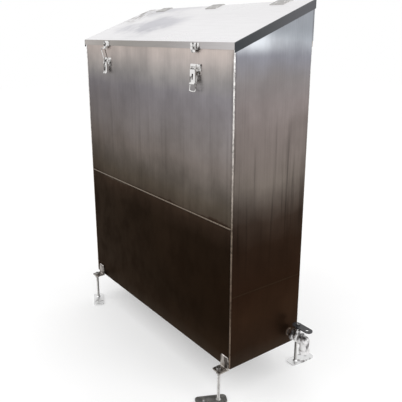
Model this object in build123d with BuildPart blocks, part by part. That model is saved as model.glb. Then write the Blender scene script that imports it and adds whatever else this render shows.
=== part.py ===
"""Free-standing stainless containment cabinet with a sloped, hinged and latched lid.

Frame: X to the right as seen from the latch side, Y to the rear, Z up, millimetres.
The origin is on the floor under the middle of the whole object, feet and drain valve
included, so the sheet-metal body itself stands a little to the left of it and forward.
"""
from build123d import *
from math import cos, radians, sin, tan
import os

os.makedirs("parts", exist_ok=True)

# Cabinet body
body_width = 1108.0
body_depth = 360.0
body_mid_x = -57.2
body_mid_y = -2.0
underside_z = 138.0
front_height = 1200.0
lid_slope = 21.5
sheet = 2.0
front_seam_height = 560.0
side_seam_height = 295.0
head_panel_thickness = 4.0
head_panel_lap = 20.0
pan_corner = 3.0

# Rim, gasket and lid, measured square to the sloped lid sheet
gasket_gap = 0.3
gasket_height = 4.0
gasket_width = 16.0
gasket_inset = 3.0
rim_thickness = 2.0
rim_width = 24.0
rim_inset = 0.5
lip_gap = 3.0
front_lip_drop = 25.0
side_lip_drop = 28.0
bend_radius = 2.2

# Weld beads
corner_bead_radius = 3.4
corner_bead_inset = 1.6
seam_bead_width = 6.0
seam_bead_height = 1.2

# Lid hinges
hinge_spacing = 400.0
hinge_width = 75.0
knuckle_count = 5
knuckle_gap = 0.4
knuckle_radius = 6.0
hinge_pin_radius = 2.5
running_clearance = 0.05
wall_leaf_thickness = 3.0
wall_leaf_height = 44.0
lid_leaf_thickness = 2.5
lid_leaf_length = 40.0
axis_behind_leaf = 4.0
axis_below_sheet = 1.5
knuckle_web = (1.6, 3.0)
knuckle_notch_gap = 1.0
pin_overhang = 1.0

# Rivets
rivet_radius = 2.5
rivet_head_radius = 4.2
rivet_head_height = 2.2
rivet_bore_radius = 1.2
bore_length = 14.0
hinge_rivet_spacing = 44.0
wall_rivet_drop = 30.0
lid_rivet_back = 22.0
rivet_dome = (0.75, 0.62)
rivet_recess_floor = 0.4

# Draw latches
right_latch_inset = 212.0
left_latch_inset = 222.0
latch_pivot_height = 1108.0
latch_pivot_out = 9.0
latch_base_thickness = 2.0
latch_pin_radius = 2.0
ear_inner_x = 11.0
ear_thickness = 2.0
ear_end_radius = 4.5
lever_width = 30.0
lever_wall = 1.8
lever_length = 56.0
lever_depth_out = 8.0
lever_depth_in = 5.8
bail_pivot_drop = 12.0
bail_pivot_back = 2.0
bail_wire_radius = 2.0
bail_half_width = 17.5
bail_length = 69.5
hanging_bail_lean = 8.0
raised_bail_lean = 14.0
keeper_width = 52.0
hook_width = 24.0
hook_trough_height = 1165.5
hook_tip_rise = 6.0
keeper_top_height = 1195.0
keeper_rivet_spacing = 38.0
latch_rivet_spacing = 38.5
keeper_rivet_drop = 11.0
base_head = (33.0, 14.0, 6.0)
base_tail = (27.0, 12.0, 24.0)
base_corner = 3.0
ear_root_half = 5.5
lever_head_drop = 4.0
cheek_radius = 6.0
cheek_drops = (20.0, 44.0, 48.0)
lever_tip = (3.0, 4.5, 1.0, 6.0, 7.5)
lever_slot = (22.0, 9.0, 29.5)
bail_foot = 10.5
bail_bends = [2.2, 8.0, 8.0, 2.2]
hook_clearance = 0.6
keeper_plate_rise = 6.0
hook_root_rise = 8.0
keeper_corner = 4.0
pin_end_play = 0.2

# Legs: threaded rod, two nuts, angle bracket and flat bar foot with its rod near one end
rod_radius = 6.0
rod_out_from_wall = 31.0
rod_recess_in_nut = 3.0
bracket_width = 46.0
bracket_side_gap = {"right": 5.2, "left": 25.0}
bracket_drop = 8.0
bracket_leg = 45.0
bracket_rise = 42.0
bracket_thickness = 5.0
bracket_bend = 5.0
bracket_corner = 4.0
bracket_hole_radius = 6.5
nut_across_flats = 18.0
nut_height = 10.0
nut_play = 0.05
foot_length = 122.0
foot_width = 50.0
foot_thickness = 6.0
foot_corner = 14.0
foot_heel = 32.0
anchor_hole_radius = 5.5
anchor_hole_reach = 58.0
foot_weld_radius = 11.0
foot_weld_height = 5.0
rod_above_floor = 1.0
rod_end_chamfer = 1.0
foot_weld_lip = 0.8
foot_heading = {"front_right": 243.0, "rear_right": 86.0, "front_left": 335.0, "rear_left": 100.0}

# Drain valve on the right wall, distances along X from the wall's outer face
drain_from_front = 312.0
drain_height = 50.0
pipe_radius = 13.35
pipe_bore_radius = 10.5
nipple_start = -6.0
nipple_end = 30.0
pipe_weld = 5.0
end_nut_start = 21.0
end_nut_length = 11.0
end_nut_across_flats = 45.0
end_nut_corner_radius = 25.2
end_nut_chamfer = 2.5
ball_x = 49.5
ball_radius = 14.0
body_radius = 22.0
body_end = 67.0
body_flange = 4.0
body_groove = 3.0
body_groove_depth = 2.5
ball_bore_radius = 9.5
seat_bore_radius = 9.8
cavity_radius = 14.5
cavity_half = 14.9
neck_radius = 11.0
neck_height = 31.0
stem_radius = 5.0
packing_nut_height = 9.0
packing_nut_across_flats = 22.0
handle_height = 48.0
handle_thickness = 4.0
handle_reach = 69.0
handle_tail = 24.0
handle_width = 34.0
handle_hole_from_end = 22.0
handle_hole_radius = 6.5
handle_boss_radius = 10.0
handle_nut_across_flats = 13.0
handle_nut_height = 6.0
stem_tenon = (9.0, 4.0, 4.5)
stem_slot_depth = 3.5
seat_edge_back = 6.0
seat_middle = 9.0
body_bulge = (2.0, 1.0)
boss_gap = 1.0
stem_above_nut = 1.0
handle_end_flat = 1.0
elbow_drop_x = 86.5
elbow_radius = 19.0
elbow_band_radius = 24.0
elbow_band_length = 7.0
elbow_spigot = 2.5
elbow_end_drop = 50.0
mouth_band_radius = 21.5
mouth_band_length = 12.0
socket_radius = 12.1
socket_depth = 16.0

# Derived places
left_x = body_mid_x - body_width / 2
right_x = body_mid_x + body_width / 2
front_y = body_mid_y - body_depth / 2
rear_y = body_mid_y + body_depth / 2
head_y = rear_y + head_panel_thickness
floor_top_z = underside_z + sheet
front_seam_z = underside_z + front_seam_height
side_seam_z = underside_z + side_seam_height
gable_seam_z = underside_z + front_height
slope_cos = cos(radians(lid_slope))
slope_sin = sin(radians(lid_slope))
slope_tan = tan(radians(lid_slope))
lid_under_z = gable_seam_z - sheet / slope_cos
rim_top = -gasket_gap - gasket_height
rim_under = rim_top - rim_thickness
slope_length = (head_y - front_y) / slope_cos
lid_normal = (0, -slope_sin, slope_cos)
lid_plane = Plane(origin=(body_mid_x, front_y, lid_under_z), x_dir=(1, 0, 0), z_dir=lid_normal)
hinge_y = head_y + wall_leaf_thickness + axis_behind_leaf
hinge_along = (hinge_y - front_y - axis_below_sheet * slope_sin) / slope_cos
hinge_z = lid_under_z + hinge_along * slope_sin - axis_below_sheet * slope_cos
hinge_xs = [body_mid_x + offset for offset in (-hinge_spacing, 0.0, hinge_spacing)]
hinge_pin_length = hinge_width + 2 * pin_overhang
latch_y = front_y - latch_pivot_out
latch_z = underside_z + latch_pivot_height
latch_xs = {"right": right_x - right_latch_inset, "left": left_x + left_latch_inset}
bail_y = latch_y + bail_pivot_back
bail_z = latch_z - bail_pivot_drop
lip_outer_y = front_y - lip_gap - sheet
bracket_z = underside_z - bracket_drop
bracket_top_z = bracket_z + bracket_thickness
leg_x = {"right": right_x - bracket_side_gap["right"] - bracket_width / 2,
         "left": left_x + bracket_side_gap["left"] + bracket_width / 2}
drain_y = front_y + drain_from_front
drain_z = underside_z + drain_height
ball_centre_x = right_x + ball_x
drain_section = Plane(origin=(right_x, drain_y, drain_z), x_dir=(1, 0, 0), z_dir=(0, -1, 0))
drain_axis = Axis((right_x, drain_y, drain_z), (1, 0, 0))


standing = (Align.CENTER, Align.CENTER, Align.MIN)
hanging = (Align.CENTER, Align.CENTER, Align.MAX)


def sloped_z(y, offset=0.0):
    """Height of the plane lying offset above the lid sheet's underside, at depth y."""
    return lid_under_z + (y - front_y) * slope_tan + offset / slope_cos


def save(piece, name):
    """Label a finished sub-part and write its STEP file."""
    piece.part.label = name
    export_step(piece.part, f"parts/{name}.step")


def prism_x(points, x_start, x_end):
    """A straight piece along X with a polygonal Y-Z section."""
    with BuildPart() as piece:
        with BuildSketch(Plane.YZ.offset(x_start)):
            with BuildLine():
                Polyline(*points, close=True)
            make_face()
        extrude(amount=x_end - x_start)
    return piece


# ---------------------------------------------------------------- body panels
def rivet_holes(mid_x, spacing, y, z):
    """A pair of rivet holes bored along Y through the sheet that is being built."""
    with Locations((mid_x - spacing / 2, y, z), (mid_x + spacing / 2, y, z)):
        Cylinder(rivet_radius, bore_length, rotation=(90, 0, 0), mode=Mode.SUBTRACT)


inner_left = left_x + sheet
inner_right = right_x - sheet
wall_top_front = sloped_z(front_y, rim_under)
wall_top_inner = sloped_z(front_y + sheet, rim_under)

front_lower_panel = prism_x(
    [(front_y, floor_top_z), (front_y + sheet, floor_top_z),
     (front_y + sheet, front_seam_z), (front_y, front_seam_z)],
    inner_left, inner_right)
save(front_lower_panel, "front_lower_panel")

with BuildPart() as front_upper_panel:
    with BuildSketch(Plane.YZ.offset(inner_left)):
        with BuildLine():
            Polyline((front_y, front_seam_z), (front_y + sheet, front_seam_z),
                     (front_y + sheet, wall_top_inner), (front_y, wall_top_front), close=True)
        make_face()
    extrude(amount=inner_right - inner_left)
    for latch_x in latch_xs.values():
        rivet_holes(latch_x, latch_rivet_spacing, front_y, latch_z)
save(front_upper_panel, "front_upper_panel")

rear_lower_panel = prism_x(
    [(rear_y - sheet, floor_top_z), (rear_y, floor_top_z),
     (rear_y, front_seam_z), (rear_y - sheet, front_seam_z)],
    inner_left, inner_right)
save(rear_lower_panel, "rear_lower_panel")

rear_upper_panel = prism_x(
    [(rear_y - sheet, front_seam_z), (rear_y, front_seam_z),
     (rear_y, gable_seam_z), (rear_y - sheet, gable_seam_z)],
    inner_left, inner_right)
save(rear_upper_panel, "rear_upper_panel")

wall_rivet_z = hinge_z - wall_rivet_drop
with BuildPart() as rear_head_panel:
    with BuildSketch(Plane.YZ.offset(inner_left)):
        with BuildLine():
            Polyline((rear_y, gable_seam_z - head_panel_lap), (head_y, gable_seam_z - head_panel_lap),
                     (head_y, sloped_z(head_y, rim_under)), (rear_y, sloped_z(rear_y, rim_under)), close=True)
        make_face()
    extrude(amount=inner_right - inner_left)
    for hinge_x in hinge_xs:
        rivet_holes(hinge_x, hinge_rivet_spacing, head_y, wall_rivet_z)
save(rear_head_panel, "rear_head_panel")

gable_start_y = front_y + (gable_seam_z - sloped_z(front_y, rim_under)) / slope_tan
for side, x_outer, x_inner in (("right", inner_right, right_x), ("left", left_x, inner_left)):
    with BuildPart() as side_lower:
        with BuildSketch(Plane.YZ.offset(x_outer)):
            with BuildLine():
                Polyline((front_y + sheet, floor_top_z), (rear_y - sheet, floor_top_z),
                         (rear_y - sheet, side_seam_z), (front_y + sheet, side_seam_z), close=True)
            make_face()
            if side == "right":
                with Locations((drain_y, drain_z)):
                    Circle(pipe_radius, mode=Mode.SUBTRACT)
        extrude(amount=x_inner - x_outer)
    save(side_lower, f"{side}_side_lower_panel")

    side_upper = prism_x(
        [(front_y + sheet, side_seam_z), (rear_y - sheet, side_seam_z), (rear_y - sheet, gable_seam_z),
         (gable_start_y, gable_seam_z), (front_y + sheet, wall_top_inner)],
        x_outer, x_inner)
    save(side_upper, f"{side}_side_upper_panel")

    gable = prism_x(
        [(gable_start_y, gable_seam_z), (head_y, gable_seam_z), (head_y, sloped_z(head_y, rim_under))],
        x_outer, x_inner)
    save(gable, f"{side}_gable")

with BuildPart() as bottom_pan:
    with BuildSketch(Plane.XY.offset(underside_z)):
        with Locations((body_mid_x, body_mid_y)):
            RectangleRounded(body_width, body_depth, pan_corner)
    extrude(amount=sheet)
save(bottom_pan, "bottom_pan")


# ------------------------------------------------------------- rim and gasket
def sloped_ring(bottom, height, outer_inset, width):
    """A flat rectangular ring parallel to the lid, inset from the body's outline."""
    level_shift = (bottom + height / 2) * slope_tan
    with BuildPart() as ring:
        with BuildSketch(lid_plane.offset(bottom)):
            with Locations((0, slope_length / 2 + level_shift)):
                Rectangle(body_width - 2 * outer_inset, slope_length - 2 * outer_inset)
                Rectangle(body_width - 2 * (outer_inset + width), slope_length - 2 * (outer_inset + width),
                          mode=Mode.SUBTRACT)
        extrude(amount=height)
    return ring


rim_frame = sloped_ring(rim_under, rim_thickness, rim_inset, rim_width)
save(rim_frame, "rim_frame")
lid_gasket = sloped_ring(rim_top, gasket_height, gasket_inset, gasket_width)
save(lid_gasket, "lid_gasket")


# ---------------------------------------------------------------- weld beads
def corner_bead(x_side, y_side, x_sign, y_sign, z_end):
    """Bead filling the open corner between a side sheet and a front or rear sheet."""
    centre_x = x_side - x_sign * corner_bead_inset
    centre_y = y_side - y_sign * corner_bead_inset
    cover = 4 * corner_bead_radius
    with BuildPart() as bead:
        with BuildSketch(Plane.XY.offset(floor_top_z)):
            with Locations((centre_x, centre_y)):
                Circle(corner_bead_radius)
            with Locations((x_side - x_sign * cover / 2, y_side - y_sign * (sheet + cover / 2))):
                Rectangle(cover, cover, mode=Mode.SUBTRACT)
            with Locations((x_side - x_sign * (sheet + cover / 2), y_side - y_sign * cover / 2)):
                Rectangle(cover, cover, mode=Mode.SUBTRACT)
        extrude(amount=z_end - floor_top_z)
    return bead.part


rear_bead_top = gable_seam_z - head_panel_lap - 1.0
beads = []
for x_side, x_sign in ((left_x, -1), (right_x, 1)):
    beads.append(corner_bead(x_side, front_y, x_sign, -1, wall_top_front))
    beads.append(corner_bead(x_side, rear_y, x_sign, 1, rear_bead_top))
with BuildPart() as corner_welds:
    add(beads)
save(corner_welds, "corner_welds")


def seam_along_x(y_face, outward, z, x_start, x_end):
    """Shallow bead along X over a level butt joint in the front or rear wall."""
    low = (y_face, z - seam_bead_width / 2)
    high = (y_face, z + seam_bead_width / 2)
    with BuildPart() as bead:
        with BuildSketch(Plane.YZ.offset(x_start)):
            with BuildLine():
                ThreePointArc(low, (y_face + outward * seam_bead_height, z), high)
                Line(high, low)
            make_face()
        extrude(amount=x_end - x_start)
    return bead.part


def seam_along_y(x_face, outward, z, y_start, y_end):
    """Shallow bead along Y over a level butt joint in a side wall."""
    low = (x_face, z - seam_bead_width / 2)
    high = (x_face, z + seam_bead_width / 2)
    with BuildPart() as bead:
        with BuildSketch(Plane.XZ.offset(-y_end)):
            with BuildLine():
                ThreePointArc(low, (x_face + outward * seam_bead_height, z), high)
                Line(high, low)
            make_face()
        extrude(amount=y_end - y_start)
    return bead.part


def pipe_weld_ring():
    """Fillet weld where the drain's pipe leaves the right wall."""
    with BuildPart() as ring:
        with Locations(Location((right_x, drain_y, drain_z), (0, 90, 0))):
            Cone(pipe_radius + pipe_weld, pipe_radius, pipe_weld, align=standing)
            Cylinder(pipe_radius, 4 * pipe_weld, mode=Mode.SUBTRACT)
    return ring.part


seam_end_gap = 6.0
gable_seam_start = front_y + side_lip_drop / slope_cos / slope_tan
seams = []
for y_face, outward in ((front_y, -1), (rear_y, 1)):
    seams.append(seam_along_x(y_face, outward, front_seam_z, left_x + seam_end_gap, right_x - seam_end_gap))
for x_face, outward in ((left_x, -1), (right_x, 1)):
    seams.append(seam_along_y(x_face, outward, side_seam_z, front_y + seam_end_gap, rear_y - seam_end_gap))
    seams.append(seam_along_y(x_face, outward, gable_seam_z, gable_seam_start, rear_y - seam_end_gap))
seams.append(pipe_weld_ring())
with BuildPart() as seam_welds:
    add(seams)
save(seam_welds, "seam_welds")


# ----------------------------------------------------------------- lid sheet
lid_half_width = body_width / 2 + lip_gap + sheet
lip_bottom_z = gable_seam_z - front_lip_drop
lip_inner_y = lip_outer_y + sheet
rear_top_y = head_y - sheet * slope_sin
lid_rivet_along = hinge_along - lid_rivet_back
keeper_rivet_z = underside_z + keeper_top_height - keeper_rivet_drop
with BuildPart() as lid_panel:
    with BuildSketch(Plane.YZ.offset(body_mid_x - lid_half_width)):
        with BuildLine():
            Polyline((lip_outer_y, sloped_z(lip_outer_y, sheet)), (rear_top_y, sloped_z(rear_top_y, sheet)),
                     (head_y, sloped_z(head_y)), (lip_inner_y, sloped_z(lip_inner_y)),
                     (lip_inner_y, lip_bottom_z), (lip_outer_y, lip_bottom_z), close=True)
        make_face()
    extrude(amount=2 * lid_half_width)
    for lip_start in (body_mid_x - lid_half_width, body_mid_x + lid_half_width - sheet):
        with BuildSketch(Plane.YZ.offset(lip_start)):
            with BuildLine():
                Polyline((lip_outer_y, sloped_z(lip_outer_y)), (head_y, sloped_z(head_y)),
                         (head_y, sloped_z(head_y, -side_lip_drop)),
                         (lip_outer_y, sloped_z(lip_outer_y, -side_lip_drop)), close=True)
            make_face()
        extrude(amount=sheet)
    side_bends = [e for e in lid_panel.edges().filter_by(GeomType.LINE)
                  if abs(abs(e.center().X - body_mid_x) - lid_half_width) < 0.01
                  and abs(e.center().Z - sloped_z(e.center().Y, sheet)) < 0.5 and e.length > 300]
    fillet(side_bends, radius=bend_radius)
    for latch_x in latch_xs.values():
        rivet_holes(latch_x, keeper_rivet_spacing, lip_outer_y, keeper_rivet_z)
    with BuildSketch(lid_plane.offset(-1)):
        for hinge_x in hinge_xs:
            with Locations((hinge_x - body_mid_x, lid_rivet_along)):
                with GridLocations(hinge_rivet_spacing, 1, 2, 1):
                    Circle(rivet_radius)
    extrude(amount=sheet + 2, mode=Mode.SUBTRACT)
save(lid_panel, "lid_panel")


# ---------------------------------------------------------------- lid hinges
def knuckle_spans(centre_x, first):
    """X limits of every second knuckle of a hinge, from knuckle number first."""
    pitch = hinge_width / knuckle_count
    start = centre_x - hinge_width / 2
    return [(start + k * pitch + knuckle_gap / 2, start + (k + 1) * pitch - knuckle_gap / 2)
            for k in range(first, knuckle_count, 2)]


def wall_leaf(centre_x):
    """Leaf riveted to the rear wall, with the second and fourth knuckles."""
    outer_y = head_y + wall_leaf_thickness
    foot_z = hinge_z - wall_leaf_height
    notch_z = hinge_z - knuckle_radius - knuckle_notch_gap
    web_y, web_drop = knuckle_web
    with BuildPart() as leaf:
        with BuildSketch(Plane.YZ.offset(centre_x - hinge_width / 2)):
            with BuildLine():
                Polyline((head_y, foot_z), (outer_y, foot_z),
                         (outer_y, notch_z), (head_y, notch_z), close=True)
            make_face()
        extrude(amount=hinge_width)
        for span in knuckle_spans(centre_x, 1):
            with BuildSketch(Plane.YZ.offset(span[0])):
                with BuildLine():
                    Polyline((head_y, notch_z), (outer_y, notch_z),
                             (hinge_y, hinge_z - knuckle_radius), (hinge_y, hinge_z),
                             (head_y + web_y, hinge_z), (head_y, hinge_z - web_drop), close=True)
                make_face()
                with Locations((hinge_y, hinge_z)):
                    Circle(knuckle_radius)
                    Circle(hinge_pin_radius, mode=Mode.SUBTRACT)
            extrude(amount=span[1] - span[0])
        rivet_holes(centre_x, hinge_rivet_spacing, head_y, wall_rivet_z)
    return leaf.part


def lid_leaf(centre_x):
    """Leaf riveted to the top of the lid, with the first, third and fifth knuckles."""
    edge = slope_length
    with BuildPart() as leaf:
        with BuildSketch(lid_plane.offset(sheet)):
            with Locations((centre_x - body_mid_x, edge - lid_leaf_length / 2)):
                Rectangle(hinge_width, lid_leaf_length)
            with Locations((centre_x - body_mid_x, lid_rivet_along)):
                with GridLocations(hinge_rivet_spacing, 1, 2, 1):
                    Circle(rivet_radius, mode=Mode.SUBTRACT)
        extrude(amount=lid_leaf_thickness)
        for span in knuckle_spans(centre_x, 0):
            with BuildSketch(lid_plane.offset(sheet)):
                with Locations(((span[0] + span[1]) / 2 - body_mid_x, (edge + hinge_along) / 2 - 0.5)):
                    Rectangle(span[1] - span[0], hinge_along - edge + 1.0)
            extrude(amount=lid_leaf_thickness)
            with BuildSketch(Plane.YZ.offset(span[0])):
                with Locations((hinge_y, hinge_z)):
                    Circle(knuckle_radius)
            extrude(amount=span[1] - span[0])
        with Locations((centre_x, hinge_y, hinge_z)):
            Cylinder(hinge_pin_radius + running_clearance, hinge_pin_length, rotation=(0, 90, 0),
                     mode=Mode.SUBTRACT)
    return leaf.part


wall_leaves = [wall_leaf(hinge_x) for hinge_x in hinge_xs]
with BuildPart() as hinge_wall_leaves:
    add(wall_leaves)
save(hinge_wall_leaves, "hinge_wall_leaves")

lid_leaves = [lid_leaf(hinge_x) for hinge_x in hinge_xs]
with BuildPart() as hinge_lid_leaves:
    add(lid_leaves)
save(hinge_lid_leaves, "hinge_lid_leaves")

with BuildPart() as hinge_pins:
    with Locations(*[(hinge_x, hinge_y, hinge_z) for hinge_x in hinge_xs]):
        Cylinder(hinge_pin_radius, hinge_pin_length, rotation=(0, 90, 0))
save(hinge_pins, "hinge_pins")


# --------------------------------------------------------------------- rivets
def rivet(grip):
    """Domed blind rivet along +Z: head above the XY plane, shank below it."""
    dome_middle = (rivet_dome[0] * rivet_head_radius, rivet_dome[1] * rivet_head_height)
    with BuildPart() as piece:
        with BuildSketch(Plane.XZ):
            with BuildLine():
                Line((0, -grip), (rivet_radius, -grip))
                Line((rivet_radius, -grip), (rivet_radius, 0))
                Line((rivet_radius, 0), (rivet_head_radius, 0))
                ThreePointArc((rivet_head_radius, 0), dome_middle, (rivet_bore_radius, rivet_head_height))
                Line((rivet_bore_radius, rivet_head_height), (rivet_bore_radius, rivet_recess_floor))
                Line((rivet_bore_radius, rivet_recess_floor), (0, rivet_recess_floor))
                Line((0, rivet_recess_floor), (0, -grip))
            make_face()
        revolve(axis=Axis.Z)
    return piece.part


def rivet_row(centres, plane, grip):
    """The same rivet at each centre, its head standing along the plane's normal."""
    one = rivet(grip)
    places = [Plane(origin=centre, x_dir=plane.x_dir, z_dir=plane.z_dir).location for centre in centres]
    with BuildPart() as row:
        with Locations(*places):
            add(one)
    return row


def pair(mid_x, spacing, y, z):
    """Two centres at the same height, either side of mid_x."""
    return [(mid_x - spacing / 2, y, z), (mid_x + spacing / 2, y, z)]


outward_front = Plane(origin=(0, 0, 0), x_dir=(1, 0, 0), z_dir=(0, -1, 0))
outward_rear = Plane(origin=(0, 0, 0), x_dir=(-1, 0, 0), z_dir=(0, 1, 0))
wall_leaf_y = head_y + wall_leaf_thickness
base_face_y = front_y - latch_base_thickness
keeper_face_y = lip_outer_y - latch_base_thickness

wall_centres = [c for hinge_x in hinge_xs
                for c in pair(hinge_x, hinge_rivet_spacing, wall_leaf_y, wall_rivet_z)]
hinge_wall_rivets = rivet_row(wall_centres, outward_rear, wall_leaf_thickness + head_panel_thickness)
save(hinge_wall_rivets, "hinge_wall_rivets")

leaf_top = lid_plane.offset(sheet + lid_leaf_thickness)
lid_centres = [tuple(leaf_top.from_local_coords((hinge_x - body_mid_x + shift, lid_rivet_along, 0)))
               for hinge_x in hinge_xs for shift in (-hinge_rivet_spacing / 2, hinge_rivet_spacing / 2)]
hinge_lid_rivets = rivet_row(lid_centres, lid_plane, sheet + lid_leaf_thickness)
save(hinge_lid_rivets, "hinge_lid_rivets")

latch_centres = [c for latch_x in latch_xs.values()
                 for c in pair(latch_x, latch_rivet_spacing, base_face_y, latch_z)]
latch_rivets = rivet_row(latch_centres, outward_front, latch_base_thickness + sheet)
save(latch_rivets, "latch_rivets")

keeper_centres = [c for latch_x in latch_xs.values()
                  for c in pair(latch_x, keeper_rivet_spacing, keeper_face_y, keeper_rivet_z)]
keeper_rivets = rivet_row(keeper_centres, outward_front, latch_base_thickness + sheet)
save(keeper_rivets, "keeper_rivets")


# --------------------------------------------------------------- draw latches
def latch_base(x):
    """Riveted base plate with two ears for the lever's pin."""
    wide, head_rise, head_drop = base_head
    narrow, step_drop, tail_drop = base_tail
    with BuildPart() as base:
        with BuildSketch(Plane.XZ.offset(-front_y)):
            with BuildLine():
                Polyline((x - wide, latch_z + head_rise), (x + wide, latch_z + head_rise),
                         (x + wide, latch_z - head_drop), (x + narrow, latch_z - step_drop),
                         (x + narrow, latch_z - tail_drop), (x - narrow, latch_z - tail_drop),
                         (x - narrow, latch_z - step_drop), (x - wide, latch_z - head_drop), close=True)
            make_face()
        extrude(amount=latch_base_thickness)
        fillet(base.edges().filter_by(Axis.Y), radius=base_corner)
        for ear_start in (x + ear_inner_x, x - ear_inner_x - ear_thickness):
            with BuildSketch(Plane.YZ.offset(ear_start)):
                with BuildLine():
                    Polyline((base_face_y, latch_z - ear_root_half), (base_face_y, latch_z + ear_root_half),
                             (latch_y, latch_z + ear_end_radius), (latch_y, latch_z - ear_end_radius),
                             close=True)
                make_face()
                with Locations((latch_y, latch_z)):
                    Circle(ear_end_radius)
                    Circle(latch_pin_radius, mode=Mode.SUBTRACT)
            extrude(amount=ear_thickness)
        rivet_holes(x, latch_rivet_spacing, front_y, latch_z)
    return base


def latch_lever(x):
    """Pressed channel lever: slotted face, two cheeks on the pin and a turned-out tip."""
    out = latch_y - lever_depth_out
    back = latch_y + lever_depth_in
    tip = latch_z - lever_length
    half = lever_width / 2
    top = latch_z - lever_head_drop
    kick, kick_end, lip_rise, face_rise, back_rise = lever_tip
    slot_length, slot_width, slot_drop = lever_slot
    back_drop, mid_drop, face_drop = cheek_drops
    pin_bore = latch_pin_radius + running_clearance
    wire_bore = bail_wire_radius + running_clearance
    with BuildPart() as lever:
        with BuildSketch(Plane.YZ.offset(x - half)):
            with BuildLine():
                Polyline((out, top), (out + lever_wall, top), (out + lever_wall, tip + face_rise),
                         (out - kick, tip), (out - kick_end, tip + lip_rise), (out, tip + back_rise),
                         close=True)
            make_face()
        extrude(amount=lever_width)
        for cheek_start in (x - half, x + half - lever_wall):
            with BuildSketch(Plane.YZ.offset(cheek_start)):
                with BuildLine():
                    Polyline((out, top), (latch_y - cheek_radius, latch_z), (back, latch_z),
                             (back, latch_z - back_drop), (latch_y, latch_z - mid_drop),
                             (out, latch_z - face_drop), close=True)
                make_face()
                with Locations((latch_y, latch_z)):
                    Circle(cheek_radius)
            extrude(amount=lever_wall)
        with Locations((x, latch_y, latch_z)):
            Cylinder(pin_bore, 2 * lever_width, rotation=(0, 90, 0), mode=Mode.SUBTRACT)
        with Locations((x, bail_y, bail_z)):
            Cylinder(wire_bore, 2 * lever_width, rotation=(0, 90, 0), mode=Mode.SUBTRACT)
        with BuildSketch(Plane.XZ.offset(-out - lever_wall - 1)):
            with Locations((x, latch_z - slot_drop)):
                SlotOverall(slot_length, slot_width, rotation=90)
        extrude(amount=lever_wall + 2, mode=Mode.SUBTRACT)
    return lever


def latch_bail(x, direction):
    """Round-wire loop sprung into the lever's cheeks, its closed end along direction."""
    across = Vector(1, 0, 0)
    loop = Plane(origin=(x, bail_y, bail_z), x_dir=across, z_dir=across.cross(Vector(*direction)))
    with BuildPart() as bail:
        with BuildLine(loop) as route:
            FilletPolyline((-bail_foot, 0), (-bail_half_width, 0), (-bail_half_width, bail_length),
                           (bail_half_width, bail_length), (bail_half_width, 0), (bail_foot, 0),
                           radius=bail_bends)
        with BuildSketch(Plane(origin=route.line @ 0, z_dir=route.line % 0)):
            Circle(bail_wire_radius)
        sweep()
    return bail


def keeper_hook(x):
    """Plate on the lid's lip with an upturned hook for the bail's closed end."""
    trough_z = underside_z + hook_trough_height
    plate_foot_z = trough_z + keeper_plate_rise
    plate_top_z = underside_z + keeper_top_height
    root_z = trough_z + hook_root_rise
    inner = bail_wire_radius + hook_clearance
    outer = inner + latch_base_thickness
    trough_y = keeper_face_y - inner
    tip_z = trough_z + hook_tip_rise
    with BuildPart() as plate:
        with BuildSketch(Plane.XZ.offset(-lip_outer_y)):
            with Locations((x, (plate_top_z + plate_foot_z) / 2)):
                RectangleRounded(keeper_width, plate_top_z - plate_foot_z, keeper_corner)
        extrude(amount=latch_base_thickness)
        with BuildSketch(Plane.YZ.offset(x - hook_width / 2)):
            with BuildLine():
                Polyline((lip_outer_y, root_z), (lip_outer_y, trough_z))
                ThreePointArc((lip_outer_y, trough_z), (trough_y, trough_z - outer),
                              (trough_y - outer, trough_z))
                Polyline((trough_y - outer, trough_z), (trough_y - outer, tip_z), (trough_y - inner, tip_z),
                         (trough_y - inner, trough_z))
                ThreePointArc((trough_y - inner, trough_z), (trough_y, trough_z - inner),
                              (keeper_face_y, trough_z))
                Polyline((keeper_face_y, trough_z), (keeper_face_y, root_z), (lip_outer_y, root_z))
            make_face()
        extrude(amount=hook_width)
        rivet_holes(x, keeper_rivet_spacing, lip_outer_y, keeper_rivet_z)
    return plate


def leaning(lean, upward):
    """Unit direction in the Y-Z plane, leaning forward from straight up or down."""
    return (0, -sin(radians(lean)), upward * cos(radians(lean)))


bail_directions = {"right": leaning(hanging_bail_lean, -1), "left": leaning(raised_bail_lean, 1)}
for side, latch_x in latch_xs.items():
    save(latch_base(latch_x), f"{side}_latch_base")
    save(latch_lever(latch_x), f"{side}_latch_lever")
    save(latch_bail(latch_x, bail_directions[side]), f"{side}_latch_bail")
    save(keeper_hook(latch_x), f"{side}_latch_keeper")

with BuildPart() as latch_pins:
    with Locations(*[(latch_x, latch_y, latch_z) for latch_x in latch_xs.values()]):
        Cylinder(latch_pin_radius, lever_width + 2 * pin_end_play, rotation=(0, 90, 0))
save(latch_pins, "latch_pins")


# ----------------------------------------------------------------------- legs
def leg_bracket(x, wall_y, outward):
    """Angle welded to the wall's foot, its level leg bored for the rod."""
    toe_y = wall_y + outward * bracket_leg
    heel_y = wall_y + outward * bracket_thickness
    rod_y = wall_y + outward * rod_out_from_wall
    wall_leg_top = underside_z + bracket_rise
    with BuildPart() as bracket:
        with BuildSketch(Plane.YZ.offset(x - bracket_width / 2)):
            with BuildLine():
                Polyline((wall_y, bracket_z), (toe_y, bracket_z), (toe_y, bracket_top_z),
                         (heel_y, bracket_top_z), (heel_y, wall_leg_top), (wall_y, wall_leg_top), close=True)
            make_face()
        extrude(amount=bracket_width)
        inner_corner = bracket.edges().filter_by(Axis.X).sort_by_distance((x, heel_y, bracket_top_z))[0]
        fillet(inner_corner, radius=bracket_bend)
        toe_corners = bracket.edges().filter_by(Axis.Z).group_by(Axis.Y)[0 if outward < 0 else -1]
        fillet(toe_corners, radius=bracket_corner)
        with Locations((x, rod_y, bracket_z)):
            Cylinder(bracket_hole_radius, 4 * bracket_thickness, mode=Mode.SUBTRACT)
    return bracket


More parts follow.
